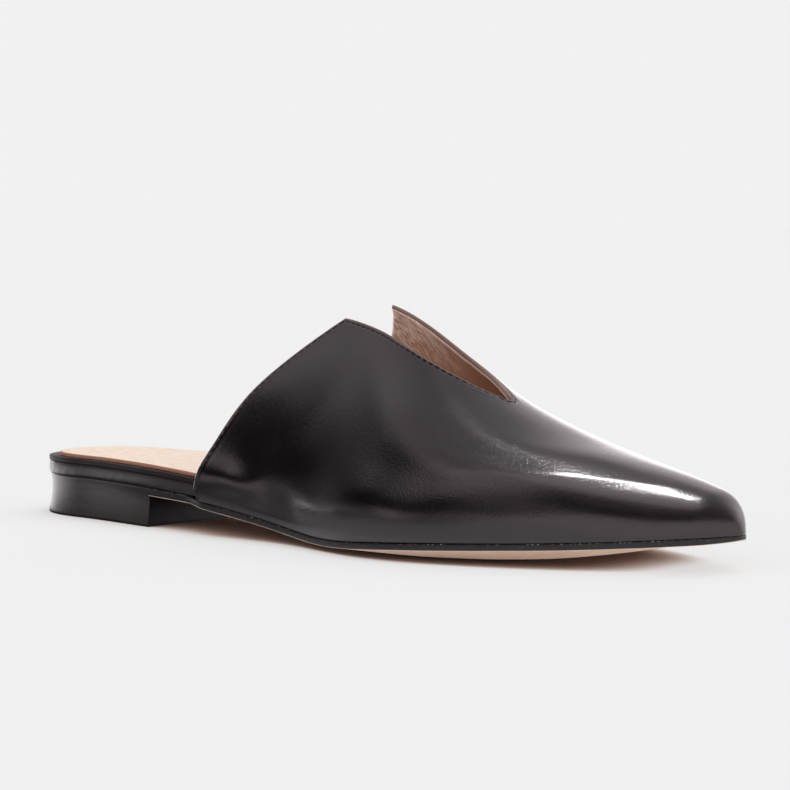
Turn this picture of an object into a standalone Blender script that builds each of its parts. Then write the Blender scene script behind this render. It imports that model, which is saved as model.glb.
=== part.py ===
"""Pointed backless mule, right shoe, European size 38.

Frame: +X towards the toe, -Y to the lateral (outer) side, +Y to the medial side, +Z up. The
origin is on the floor under the middle of the heel block. A station is a distance from the back
of the heel along X. Everything is in metres.
"""
import math

import bmesh
import bpy
import numpy as np

# Driving dimensions
LENGTH = 0.268            # heel back to toe tip
BALL_WIDTH = 0.0835       # widest across the outsole
HEEL_HEIGHT = 0.0129      # floor to the seam above the heel block
INSTEP_HEIGHT = 0.0745    # floor to the highest point of the vamp's crown line
WALL = 0.0020             # leather and lining of the upper together
GAP = 0.0003              # clearance between pieces that touch

# Rounding of the plan outline
HEEL_RADIUS = 0.0266
HEEL_SQUARENESS = 2.1     # 2 is a circle, more is squarer
TOE_RADIUS = 0.0093
NOSE_RADIUS = 0.0110      # rounding of the vamp's height at the toe
NOSE_FULLNESS = 0.8

# How far each piece stands out from the insole board's outline
SOLE_STAND = 0.0043
UPPER_STAND = 0.0043
FEATHER_TUCK = 0.0006     # the upper's bottom edge turns in this far
INSIDE_STAND = 0.0012     # the layers inside the upper fill out towards its wall
SOCK_INSET = 0.0036       # the sock lining's edge lies this far inside the rim behind the vamp
SOCK_WIDENS = 0.092, 0.107
WAIST_STATION = 0.0820    # the outsole starts to widen under the vamp here
VAMP_STATION = 0.0950     # and has its full width here

# Heel block, outsole and the layers above it
HEEL_CENTRE = 0.0330      # station of the origin
BREAST_STATION = 0.0644   # front face of the heel block
SOLE_EDGE = 0.0018        # height of the outsole's black edge at the forefoot
WAIST_EDGE = 0.0023       # and behind the vamp
TIP_EDGE = 0.0012         # and at the toe tip
SOLE_CROWN = 4.6          # exponent of the rounding across the outsole's bottom
TREAD_SINK = 0.00018      # what the floor presses flat under the ball
MIDSOLE_HEEL = 0.0042
MIDSOLE_BALL = 0.0020
MIDSOLE_TIP = LENGTH - 0.0036
BOARD_THICKNESS = 0.0017
BOARD_INSET = 0.0002      # the board's edge lies this far inside the midsole's
BOARD_TIP = MIDSOLE_TIP - 0.0008
SOCK_THICKNESS = 0.0011
SOCK_CLEARANCE = 0.0006   # the sock lining is this much narrower than the midsole in the vamp
SOCK_TIP = MIDSOLE_TIP - 0.0020

# Edges of the vamp, stations as shares of the length
THROAT_TIP = 0.690        # bottom of the V
V_SHARE = 0.44            # share of the vamp's columns that end on the edge of the V


class Table:
    """A short design table with named columns, read as smooth curves along its first column."""

    def __init__(self, columns, rows):
        self.columns = columns.split()
        self.rows = np.array(rows, float)

    def curve(self, column, stretch=1.0, scale=1.0):
        """Natural cubic spline through one column.

        stretch multiplies the first column and scale the values.
        """
        knots = self.rows[:, 0] * stretch
        values = self.rows[:, self.columns.index(column)] * scale
        steps = np.diff(knots)
        count = len(knots)
        system = np.eye(count)
        bends = np.zeros(count)
        for i in range(1, count - 1):
            system[i, i - 1:i + 2] = steps[i - 1], 2 * (steps[i - 1] + steps[i]), steps[i]
            bends[i] = 6 * ((values[i + 1] - values[i]) / steps[i]
                            - (values[i] - values[i - 1]) / steps[i - 1])
        bends = np.linalg.solve(system, bends)

        def read(at):
            i = int(np.clip(np.searchsorted(knots, at) - 1, 0, count - 2))
            before = (knots[i + 1] - at) / steps[i]
            after = (at - knots[i]) / steps[i]
            bend = (before ** 3 - before) * bends[i] + (after ** 3 - after) * bends[i + 1]
            return float(before * values[i] + after * values[i + 1] + bend * steps[i] ** 2 / 6)

        return read


# Half widths of the insole board before its ends are rounded: shares of BALL_WIDTH
OUTLINE = Table("along lateral medial", [
    (0.000, 0.269, 0.273),    # heel seat
    (0.115, 0.270, 0.273),
    (0.237, 0.333, 0.302),    # heel breast
    (0.363, 0.357, 0.297),    # waist
    (0.477, 0.366, 0.324),
    (0.591, 0.470, 0.391),    # joint of the little toe
    (0.706, 0.468, 0.421),    # ball
    (0.821, 0.347, 0.346),
    (0.924, 0.182, 0.196),
    (1.000, 0.022, 0.021)])   # toe tip

# Seam between upper and outsole, above the floor: shares of HEEL_HEIGHT
SEAM = Table("along height", [
    (0.000, 1.020),
    (0.191, 1.000),           # heel seat
    (0.324, 0.850),           # waist, sloping down
    (0.439, 0.517),
    (0.534, 0.291),           # tread starts
    (0.630, 0.358),           # ball
    (0.744, 0.488),
    (0.878, 0.634),
    (1.000, 0.828)])          # toe spring

# Middle of the outsole's bottom, above the floor: shares of HEEL_HEIGHT
BOTTOM = Table("along height", [
    (0.240, 0.675),           # heel breast
    (0.324, 0.548),           # waist
    (0.420, 0.331),
    (0.534, 0.148),
    (0.630, 0.001),           # tread on the floor
    (0.725, 0.011),
    (0.821, 0.154),
    (0.935, 0.548)])          # toe spring

# Crown line of the vamp, above the floor: shares of INSTEP_HEIGHT
CROWN = Table("along height", [
    (0.363, 0.956),
    (0.477, 1.000),           # instep
    (0.572, 0.838),
    (0.668, 0.636),           # bottom of the V
    (0.763, 0.495),
    (0.859, 0.394),
    (0.935, 0.326),
    (1.000, 0.259)])          # toe box

# Shape of each half section: a curve from the seam to the crown line. The crown's offset to the
# medial side and the lean at the seam are shares of BALL_WIDTH. The rise is the share of the
# height where the wall turns in, and the spread how far out the top stays flat.
SECTION = Table("along offset lateral_rise lateral_spread lateral_lean"
                " medial_rise medial_spread medial_lean", [
                    (0.363, 0.207, 0.31, 0.25, 0.061, 0.45, 0.40, 0.144),
                    (0.496, 0.178, 0.30, 0.26, 0.015, 0.50, 0.45, 0.122),
                    (0.630, 0.067, 0.54, 0.50, 0.021, 0.46, 0.53, 0.055),
                    (0.763, 0.014, 0.64, 0.62, 0.024, 0.59, 0.60, 0.023),
                    (0.897, 0.041, 0.71, 0.52, 0.013, 0.73, 0.52, 0.020),
                    (1.000, 0.046, 0.78, 0.50, 0.006, 0.80, 0.52, -0.015)])

# Back edges of the vamp: share of the edge's own height, station as a share of LENGTH
BACK_EDGE = Table("height lateral medial", [
    (0.00, 0.3405, 0.3405),
    (0.05, 0.3375, 0.3496),
    (0.15, 0.3394, 0.3664),
    (0.30, 0.3466, 0.3896),
    (0.45, 0.3565, 0.4101),
    (0.60, 0.3720, 0.4300),
    (0.75, 0.3965, 0.4460),
    (0.90, 0.4250, 0.4592),
    (1.00, 0.4459, 0.4655)])

# Edges of the V: share of the way from its peak to its bottom, share of the half section's run
V_EDGE = Table("way lateral medial", [
    (0.0, 0.755, 0.805),
    (0.1, 0.747, 0.780),
    (0.2, 0.747, 0.765),
    (0.3, 0.756, 0.760),
    (0.4, 0.770, 0.761),
    (0.5, 0.793, 0.772),
    (0.6, 0.822, 0.795),
    (0.7, 0.859, 0.832),
    (0.8, 0.898, 0.878),
    (0.9, 0.944, 0.935),
    (1.0, 1.000, 1.000)])

SIDES = {"lateral": -1, "medial": 1}
HALF_OUTLINE = {side: OUTLINE.curve(side, LENGTH, BALL_WIDTH) for side in SIDES}
SEAM_HEIGHT = SEAM.curve("height", LENGTH, HEEL_HEIGHT)
BOTTOM_HEIGHT = BOTTOM.curve("height", LENGTH, HEEL_HEIGHT)
CROWN_HEIGHT = CROWN.curve("height", LENGTH, INSTEP_HEIGHT)
CROWN_OFFSET = SECTION.curve("offset", LENGTH, BALL_WIDTH)
SECTION_SHAPE = {side: {part: SECTION.curve(f"{side}_{part}", LENGTH, scale)
                        for part, scale in (("rise", 1), ("spread", 1), ("lean", BALL_WIDTH))}
                 for side in SIDES}
BACK_STATION = {side: BACK_EDGE.curve(side, 1, LENGTH) for side in SIDES}
V_RUN = {side: V_EDGE.curve(side) for side in SIDES}

# Colour, roughness
BLACK_LEATHER = (0.018, 0.016, 0.016), 0.38
BLACK_EDGE = (0.012, 0.010, 0.010), 0.55
TAN_SUEDE = (0.62, 0.46, 0.33), 0.85
TAN_LEATHER = (0.55, 0.36, 0.24), 0.60
BLACK_LACQUER = (0.020, 0.019, 0.020), 0.42


def smooth_step(value, low, high):
    """0 below low, 1 above high, with a soft change between."""
    share = min(max((value - low) / (high - low), 0.0), 1.0)
    return share * share * (3 - 2 * share)


def heel_rounding(station, start=0.0):
    """Share of the width left by the round back end of a piece that starts at start."""
    reach = min(max(1 - (station - start) / (HEEL_RADIUS - start), 0.0), 1.0)
    return (1 - reach ** HEEL_SQUARENESS) ** (1 / HEEL_SQUARENESS)


def toe_rounding(station, tip=LENGTH, radius=TOE_RADIUS):
    """Share of the width, or height, left by the round toe end of a piece that ends at tip."""
    reach = min(max((station - tip + radius) / radius, 0.0), 1.0)
    return math.sqrt(1 - reach ** 2)


def half_width(station, side, stand, start=0.0, tip=LENGTH):
    """Distance from the middle plane to a piece's outline, with its ends rounded."""
    rounding = heel_rounding(station, start) * toe_rounding(station, tip)
    return (HALF_OUTLINE[side](station) + stand) * rounding


def sole_stand(station):
    """The outsole is flush with the board behind the vamp and stands out under it."""
    return SOLE_STAND * smooth_step(station, WAIST_STATION, VAMP_STATION)


def sole_edge(station):
    """Height of the outsole's edge, thinner where it curls up at the toe tip."""
    forward = smooth_step(station, BREAST_STATION, VAMP_STATION)
    edge = WAIST_EDGE + (SOLE_EDGE - WAIST_EDGE) * forward
    return TIP_EDGE + (edge - TIP_EDGE) * toe_rounding(station, radius=NOSE_RADIUS)


def inside_stand(station):
    """Layers fill out towards the vamp's wall, and draw back from it at the narrow toe."""
    wider = smooth_step(station, VAMP_STATION, VAMP_STATION + 0.010)
    narrower = smooth_step(station, 0.80 * LENGTH, LENGTH)
    return INSIDE_STAND * (wider - narrower)


def midsole_thickness(station):
    """The covered midsole thins under the ball."""
    thinner = smooth_step(station, VAMP_STATION, 0.60 * LENGTH)
    return MIDSOLE_HEEL + (MIDSOLE_BALL - MIDSOLE_HEEL) * thinner


def midsole_top(station):
    return SEAM_HEIGHT(station) + GAP / 2 + midsole_thickness(station)


def board_top(station):
    return midsole_top(station) + GAP + BOARD_THICKNESS


def vamp_point(station, run, side):
    """Outer surface of the vamp: run goes from 0 at the seam to 1 on the crown line."""
    sign = SIDES[side]
    shape = SECTION_SHAPE[side]
    nose = toe_rounding(station, radius=NOSE_RADIUS)
    base = half_width(station, side, UPPER_STAND)
    tuck = FEATHER_TUCK * toe_rounding(station)
    foot = SEAM_HEIGHT(station)
    height = (CROWN_HEIGHT(station) - foot) * nose ** NOSE_FULLNESS
    crown = CROWN_OFFSET(station) * nose
    turn = sign * (base + shape["lean"](station) * nose)
    shoulder = crown + (sign * base - crown) * shape["spread"](station)
    low, high = 1 - run, run
    weights = low ** 3, 3 * low ** 2 * high, 3 * low * high ** 2, high ** 3
    across = (sign * (base - tuck), turn, shoulder, crown)
    upward = (0, shape["rise"](station) * height, height, height)
    return (station - HEEL_CENTRE,
            sum(w * y for w, y in zip(weights, across)),
            foot + GAP / 2 + sum(w * z for w, z in zip(weights, upward)))


def vamp_place(along, up, side):
    """Station and run of a point of one vamp half.

    along goes from the back edge to the toe tip. up goes from the seam to the top, which is the
    edge of the V as far as along reaches V_SHARE, and the crown line after it.
    """
    peak = BACK_STATION[side](1.0)
    tip = THROAT_TIP * LENGTH
    back = BACK_STATION[side](0.0)
    if along < V_SHARE:
        way = along / V_SHARE
        top_run = V_RUN[side](way)
        top_station = peak + way * (tip - peak)
    else:
        top_run = 1.0
        top_station = tip + (along - V_SHARE) / (1 - V_SHARE) * (LENGTH - tip)
    low_station = back + along * (LENGTH - back)
    straight = back + up * (peak - back)
    bow = (BACK_STATION[side](up) - straight) * (1 - along) ** 3
    return low_station + up * (top_station - low_station) + bow, up * top_run


def make_material(name, look):
    """Principled material of one colour and roughness."""
    colour, roughness = look
    material = bpy.data.materials.new(name)
    material.use_nodes = True
    shader = material.node_tree.nodes["Principled BSDF"]
    shader.inputs["Base Color"].default_value = (*colour, 1)
    shader.inputs["Roughness"].default_value = roughness
    material.diffuse_color = (*colour, 1)
    return material


def make_object(name, mesh_maker, look):
    """Link a piece, shaded smooth with sharp corners kept."""
    mesh = bpy.data.meshes.new(name)
    bm = bmesh.new()
    mesh_maker(bm)
    bmesh.ops.remove_doubles(bm, verts=bm.verts, dist=1e-7)
    bmesh.ops.recalc_face_normals(bm, faces=bm.faces)
    bm.to_mesh(mesh)
    bm.free()
    mesh.shade_smooth()
    mesh.set_sharp_from_angle(angle=math.radians(40))
    mesh.materials.append(make_material(name, look))
    piece = bpy.data.objects.new(name, mesh)
    bpy.context.scene.collection.objects.link(piece)
    return piece


def laid_grid(bm, columns, rows, place):
    """Grid whose vertices are moved to place(along, up), with both shares from 0 to 1.

    The last vertex of each row and column reads exactly 1, so edges that meet there can weld.
    """
    grid = bmesh.ops.create_grid(bm, x_segments=columns, y_segments=rows, size=0.5)
    for vertex in grid["verts"]:
        along = round((vertex.co.x + 0.5) * columns) / columns
        up = round((vertex.co.y + 0.5) * rows) / rows
        vertex.co = place(along, up)
    return grid["verts"]


# --- Upper ---------------------------------------------------------------------------------

V_COLUMNS = 14            # columns that end on the edge of the V
VAMP_COLUMNS = 12         # columns from there to the nose
NOSE_COLUMNS = 7          # columns that close up round the nose
UPPER_COLUMNS = V_COLUMNS + VAMP_COLUMNS + NOSE_COLUMNS
UPPER_ROWS = 12           # seam to top edge
NOSE_SHARE = 0.94         # where the nose's columns start


def upper_spacing(share):
    """Columns are even along the V and the vamp, and close up so the round nose keeps its shape."""
    column = round(share * UPPER_COLUMNS)
    if column <= V_COLUMNS:
        return V_SHARE * column / V_COLUMNS
    column -= V_COLUMNS
    if column <= VAMP_COLUMNS:
        return V_SHARE + (NOSE_SHARE - V_SHARE) * column / VAMP_COLUMNS
    turn = (column - VAMP_COLUMNS) / NOSE_COLUMNS
    return NOSE_SHARE + (1 - NOSE_SHARE) * math.sin(turn * math.pi / 2)


def upper_shell(bm):
    """Outer sheet of both halves, joined along the crown line, then given its wall."""
    for side, sign in SIDES.items():
        def place(along, up, side=side):
            station, run = vamp_place(upper_spacing(along), up, side)
            return vamp_point(min(station, LENGTH), run, side)

        before = set(bm.faces)
        laid_grid(bm, UPPER_COLUMNS, UPPER_ROWS, place)
        if sign > 0:
            bmesh.ops.reverse_faces(bm, faces=[f for f in bm.faces if f not in before])
    bmesh.ops.remove_doubles(bm, verts=bm.verts, dist=1e-6)
    bm.normal_update()
    thicken(bm, WALL)


def thicken(bm, wall):
    """Give an open sheet its wall: an inner copy, and a strip round every free edge."""
    rim = [edge for edge in bm.edges if edge.is_boundary]
    seam_line = {v for e in rim for v in e.verts
                 if abs(v.co.z - SEAM_HEIGHT(v.co.x + HEEL_CENTRE) - GAP / 2) < 1e-5}
    normals = {v: v.normal.copy() for v in bm.verts}
    copy = bmesh.ops.duplicate(bm, geom=bm.verts[:] + bm.edges[:] + bm.faces[:])
    inner = copy["vert_map"]
    for vertex, normal in normals.items():
        twin = inner[vertex]
        twin.co = vertex.co - wall * normal
        if vertex in seam_line:
            twin.co.z = SEAM_HEIGHT(twin.co.x + HEEL_CENTRE) + GAP / 2
    for edge in rim:
        start, end = edge.verts
        bm.faces.new((start, end, inner[end], inner[start]))


# --- Layers of the bottom --------------------------------------------------------------------

LAYER_COLUMNS = 48
HEEL_COLUMNS = 22
SEAT_HALF_WIDTH = 0.0226  # half of the heel seat's width, which an inset is a share of


def spread(share, round_back, round_front):
    """Even shares from 0 to 1 made to close up towards the ends that are round."""
    if round_back and round_front:
        return (1 - math.cos(math.pi * share)) / 2
    if round_front:
        return math.sin(math.pi * share / 2)
    return 1 - math.cos(math.pi * share / 2)


def layer(bm, width, floor, roof, ring, ends, columns=LAYER_COLUMNS, round_back=True,
          round_front=True):
    """Closed slab between floor and roof, lofted from cross sections from the back to the front.

    ring lists the points of a section as (across from -1 to 1, level from 0 to 1, inset). An
    inset narrows the section, and draws the piece's round ends in by as much.
    """
    back, front = ends

    def place(along, around):
        station = back + (front - back) * spread(along, round_back, round_front)
        across, level, inset = ring[round(around * len(ring)) % len(ring)]
        side = "lateral" if across < 0 else "medial"
        edge = width(station, side) * (1 - inset / SEAT_HALF_WIDTH)
        y = across * edge
        low, high = floor(station, y, edge), roof(station)
        shift = 0.0
        if round_back:
            shift += inset * max(0.0, 1 - (station - back) / HEEL_RADIUS)
        if round_front:
            shift -= inset * max(0.0, 1 - (front - station) / TOE_RADIUS)
        return station + shift - HEEL_CENTRE, y, low + (high - low) * level

    laid_grid(bm, columns, len(ring), place)
    bmesh.ops.remove_doubles(bm, verts=bm.verts, dist=1e-7)
    bmesh.ops.holes_fill(bm, edges=[edge for edge in bm.edges if edge.is_boundary])


def edge_ring(levels):
    """Section with a plain top and bottom, and an edge that follows (level, inset) rows."""
    medial = [(1, level, inset) for level, inset in levels]
    lateral = [(-1, level, inset) for level, inset in reversed(levels)]
    return medial + lateral


def midsole(bm):
    """Leather-covered layer with a soft round edge that shows behind the vamp."""
    def width(station, side):
        return half_width(station, side, inside_stand(station), tip=MIDSOLE_TIP)

    def floor(station, y, edge):
        return SEAM_HEIGHT(station) + GAP / 2

    ring = edge_ring([(0, 0.0004), (0.25, 0), (0.75, 0), (1, 0.0005)])
    layer(bm, width, floor, midsole_top, ring, (0, MIDSOLE_TIP))


def insole_board(bm):
    """Thin firm board with a slightly rounded edge."""
    def width(station, side):
        return half_width(station, side, inside_stand(station) - BOARD_INSET, tip=BOARD_TIP)

    def floor(station, y, edge):
        return midsole_top(station) + GAP

    ring = edge_ring([(0, 0.0003), (0.5, 0), (1, 0.0002)])
    layer(bm, width, floor, board_top, ring, (0, BOARD_TIP))


def sock_lining(bm):
    """Suede leaf, set in from the rim behind the vamp and filling the shoe inside it."""
    def width(station, side):
        inside = smooth_step(station, *SOCK_WIDENS)
        stand = (inside_stand(station) - SOCK_CLEARANCE) * inside - SOCK_INSET * (1 - inside)
        return half_width(station, side, stand, start=SOCK_INSET, tip=SOCK_TIP)

    def floor(station, y, edge):
        return board_top(station) + GAP

    def roof(station):
        return board_top(station) + GAP + SOCK_THICKNESS

    layer(bm, width, floor, roof, edge_ring([(0, 0), (1, 0)]), (SOCK_INSET, SOCK_TIP))


def outsole(bm):
    """Thin sole from the heel breast to the toe, crowned across and flat where it treads."""
    def width(station, side):
        return half_width(station, side, sole_stand(station))

    def floor(station, y, edge):
        edge_height = SEAM_HEIGHT(station) - sole_edge(station)
        middle = min(BOTTOM_HEIGHT(station), edge_height)
        rounding = min(abs(y) / edge, 1.0) ** SOLE_CROWN if edge > 0 else 1.0
        return max(0.0, middle + (edge_height - middle) * rounding - TREAD_SINK)

    def roof(station):
        return SEAM_HEIGHT(station) - GAP / 2

    half = [0.45, 0.65, 0.78, 0.88, 0.95, 1]
    bottom = [-share for share in reversed(half)] + [0] + half
    ring = [(share, 0, 0) for share in bottom] + [(1, 1, 0), (-1, 1, 0)]
    layer(bm, width, floor, roof, ring, (BREAST_STATION + GAP, LENGTH), round_back=False)


def heel_block(bm):
    """Low block with a flat front, a slight waist all round and a flat bottom."""
    def width(station, side):
        return half_width(station, side, 0)

    def floor(station, y, edge):
        return 0.0

    def roof(station):
        return SEAM_HEIGHT(station) - GAP / 2

    ring = edge_ring([(0, 0.0009), (0.05, 0.0003), (0.15, 0.0002), (0.5, 0.0006), (0.8, 0.0007),
                      (1, 0.0003)])
    layer(bm, width, floor, roof, ring, (0, BREAST_STATION), HEEL_COLUMNS, round_front=False)


def main():
    for old in list(bpy.data.objects):
        bpy.data.objects.remove(old, do_unlink=True)
    make_object("upper", upper_shell, BLACK_LEATHER)
    make_object("covered_midsole", midsole, BLACK_LEATHER)
    make_object("insole_board", insole_board, BLACK_EDGE)
    make_object("sock_lining", sock_lining, TAN_SUEDE)
    make_object("outsole", outsole, TAN_LEATHER)
    make_object("heel_block", heel_block, BLACK_LACQUER)


main()
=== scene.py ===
"""Looks of a pointed backless mule, right shoe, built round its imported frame.

Everything is in metres in the frame's own axes: +X towards the toe, -Y to the lateral side, +Y to
the medial side, +Z up, and the origin on the floor under the middle of the heel block. A station is
a distance from the back of the heel along X. A run goes over a half section of the vamp, from 0 at
the seam with the sole to 1 on the crown line.
"""
import logging
import math
from dataclasses import dataclass, field
from enum import Enum
from typing import Any, Callable, Dict, List, Optional, Sequence, Tuple, Union

import bmesh
import bpy
import numpy as np
from mathutils import Matrix, Vector, bvhtree, kdtree, noise


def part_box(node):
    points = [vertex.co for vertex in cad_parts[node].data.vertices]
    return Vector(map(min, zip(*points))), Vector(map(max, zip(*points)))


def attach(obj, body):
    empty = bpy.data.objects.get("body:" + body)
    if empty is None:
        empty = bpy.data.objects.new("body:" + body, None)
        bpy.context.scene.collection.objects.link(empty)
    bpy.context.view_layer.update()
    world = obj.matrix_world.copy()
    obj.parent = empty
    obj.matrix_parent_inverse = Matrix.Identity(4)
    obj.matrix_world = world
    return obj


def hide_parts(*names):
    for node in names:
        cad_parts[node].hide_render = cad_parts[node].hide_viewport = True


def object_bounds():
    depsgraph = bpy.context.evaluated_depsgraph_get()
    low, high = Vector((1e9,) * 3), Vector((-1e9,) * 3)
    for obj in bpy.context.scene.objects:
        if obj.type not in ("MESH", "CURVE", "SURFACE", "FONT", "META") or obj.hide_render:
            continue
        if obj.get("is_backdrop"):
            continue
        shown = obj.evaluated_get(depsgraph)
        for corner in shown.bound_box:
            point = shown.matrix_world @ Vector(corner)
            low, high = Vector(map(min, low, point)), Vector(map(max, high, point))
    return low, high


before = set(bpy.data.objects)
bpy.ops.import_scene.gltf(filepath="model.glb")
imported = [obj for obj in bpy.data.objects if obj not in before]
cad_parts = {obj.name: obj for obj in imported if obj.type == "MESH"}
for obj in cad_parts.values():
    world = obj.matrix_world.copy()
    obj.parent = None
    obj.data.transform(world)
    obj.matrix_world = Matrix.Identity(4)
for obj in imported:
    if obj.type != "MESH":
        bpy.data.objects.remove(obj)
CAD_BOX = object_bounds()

log = logging.getLogger("mule")

Array = np.ndarray
Curve = Callable[[Array], Array]
Triple = Tuple[float, float, float]
Colour = Triple
Rows = Tuple[Tuple[float, float], ...]
Spacing = Tuple[Tuple[int, float], ...]
MM = 0.001
TINY = 1e-6
SEAT_RADIUS = 26 * MM        # turns an angle round the heel seat into a length

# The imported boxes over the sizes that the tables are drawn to
WIDTH_PER_BALL = 1.0134      # whole width over ball width
TOP_PER_HEEL = 1.0085        # top of the heel block over heel height
TOP_PER_INSTEP = 0.9589      # top of the upper over instep height


class Side(Enum):
    """The two halves of the shoe, each with the sign of its Y."""

    LATERAL = -1
    MEDIAL = 1


class Relief(Enum):
    """Shapes of a listed line in the leather."""

    RIDGE = "ridge"      # raised, with a narrow round top
    BULGE = "bulge"      # raised, soft


# --- The last: the form every piece takes its shape from --------------------------------------


class Table:
    """A short design table with named columns, read as smooth curves along its first column."""

    def __init__(self, columns: str, rows: Sequence[Sequence[float]]) -> None:
        """Keeps the table.

        Args:
            columns: names of the columns, with spaces between.
            rows: one row of numbers for each knot.
        """
        self.columns = columns.split()
        self.rows = np.array(rows, float)

    def curve(self, column: str, stretch: float = 1.0, scale: float = 1.0) -> Curve:
        """Natural cubic spline through one column.

        Args:
            column: its name.
            stretch: multiplies the first column.
            scale: multiplies the values.

        Returns:
            A function of an array of places along the first column.
        """
        knots = self.rows[:, 0] * stretch
        values = self.rows[:, self.columns.index(column)] * scale
        steps = np.diff(knots)
        count = len(knots)
        system, bends = np.eye(count), np.zeros(count)
        for i in range(1, count - 1):
            system[i, i - 1:i + 2] = steps[i - 1], 2 * (steps[i - 1] + steps[i]), steps[i]
            bends[i] = 6 * ((values[i + 1] - values[i]) / steps[i]
                            - (values[i] - values[i - 1]) / steps[i - 1])
        bends = np.linalg.solve(system, bends)

        def read(at: Array) -> Array:
            """Value of the spline at each place.

            Args:
                at: places along the first column.

            Returns:
                The values.
            """
            at = np.asarray(at, float)
            i = np.clip(np.searchsorted(knots, at) - 1, 0, count - 2)
            before, after = (knots[i + 1] - at) / steps[i], (at - knots[i]) / steps[i]
            bend = (before ** 3 - before) * bends[i] + (after ** 3 - after) * bends[i + 1]
            return before * values[i] + after * values[i + 1] + bend * steps[i] ** 2 / 6

        return read


# Half widths of the insole board before its ends are rounded: shares of the ball's width
OUTLINE = Table("along lateral medial", [
    (0.000, 0.269, 0.273),    # heel seat
    (0.115, 0.270, 0.273),
    (0.237, 0.333, 0.302),    # heel breast
    (0.363, 0.357, 0.297),    # waist
    (0.477, 0.366, 0.324),
    (0.591, 0.470, 0.391),    # joint of the little toe
    (0.706, 0.468, 0.421),    # ball
    (0.821, 0.347, 0.346),
    (0.924, 0.182, 0.196),
    (1.000, 0.022, 0.021)])   # toe tip

# Seam between upper and outsole, above the floor: shares of the heel's height
SEAM = Table("along height", [
    (0.000, 1.020),
    (0.191, 1.000),           # heel seat
    (0.324, 0.850),           # waist, sloping down
    (0.439, 0.517),
    (0.534, 0.291),           # tread starts
    (0.630, 0.358),           # ball
    (0.744, 0.488),
    (0.878, 0.634),
    (1.000, 0.828)])          # toe spring

# Middle of the outsole's bottom, above the floor: shares of the heel's height
BOTTOM = Table("along height", [
    (0.240, 0.675),           # heel breast
    (0.324, 0.548),           # waist
    (0.420, 0.331),
    (0.534, 0.148),
    (0.630, 0.001),           # tread on the floor
    (0.725, 0.011),
    (0.821, 0.154),
    (0.935, 0.548)])          # toe spring

# Crown line of the vamp, above the floor: shares of the instep's height
CROWN = Table("along height", [
    (0.363, 0.956),
    (0.477, 1.000),           # instep
    (0.572, 0.838),
    (0.668, 0.636),           # bottom of the V
    (0.763, 0.495),
    (0.859, 0.394),
    (0.935, 0.326),
    (1.000, 0.259)])          # toe box

# Shape of each half section: a curve from the seam to the crown line
SECTION = Table("along offset lateral_rise lateral_spread lateral_lean"
                " medial_rise medial_spread medial_lean", [
                    (0.363, 0.207, 0.31, 0.25, 0.061, 0.45, 0.40, 0.144),
                    (0.496, 0.178, 0.30, 0.26, 0.015, 0.50, 0.45, 0.122),
                    (0.630, 0.067, 0.54, 0.50, 0.021, 0.46, 0.53, 0.055),
                    (0.763, 0.014, 0.64, 0.62, 0.024, 0.59, 0.60, 0.023),
                    (0.897, 0.041, 0.71, 0.52, 0.013, 0.73, 0.52, 0.020),
                    (1.000, 0.046, 0.78, 0.50, 0.006, 0.80, 0.52, -0.015)])

# Back edges of the vamp: share of the edge's own height, station as a share of the length
BACK_EDGE = Table("height lateral medial", [
    (0.00, 0.3405, 0.3405),
    (0.05, 0.3375, 0.3496),
    (0.15, 0.3394, 0.3664),
    (0.30, 0.3466, 0.3896),
    (0.45, 0.3565, 0.4101),
    (0.60, 0.3720, 0.4300),
    (0.75, 0.3965, 0.4460),
    (0.90, 0.4250, 0.4592),
    (1.00, 0.4459, 0.4655)])

# Edges of the V: share of the way from its peak to its bottom, share of the half section's run
V_EDGE = Table("way lateral medial", [
    (0.0, 0.755, 0.805),
    (0.1, 0.747, 0.780),
    (0.2, 0.747, 0.765),
    (0.3, 0.756, 0.760),
    (0.4, 0.770, 0.761),
    (0.5, 0.793, 0.772),
    (0.6, 0.822, 0.795),
    (0.7, 0.859, 0.832),
    (0.8, 0.898, 0.878),
    (0.9, 0.944, 0.935),
    (1.0, 1.000, 1.000)])

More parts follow.
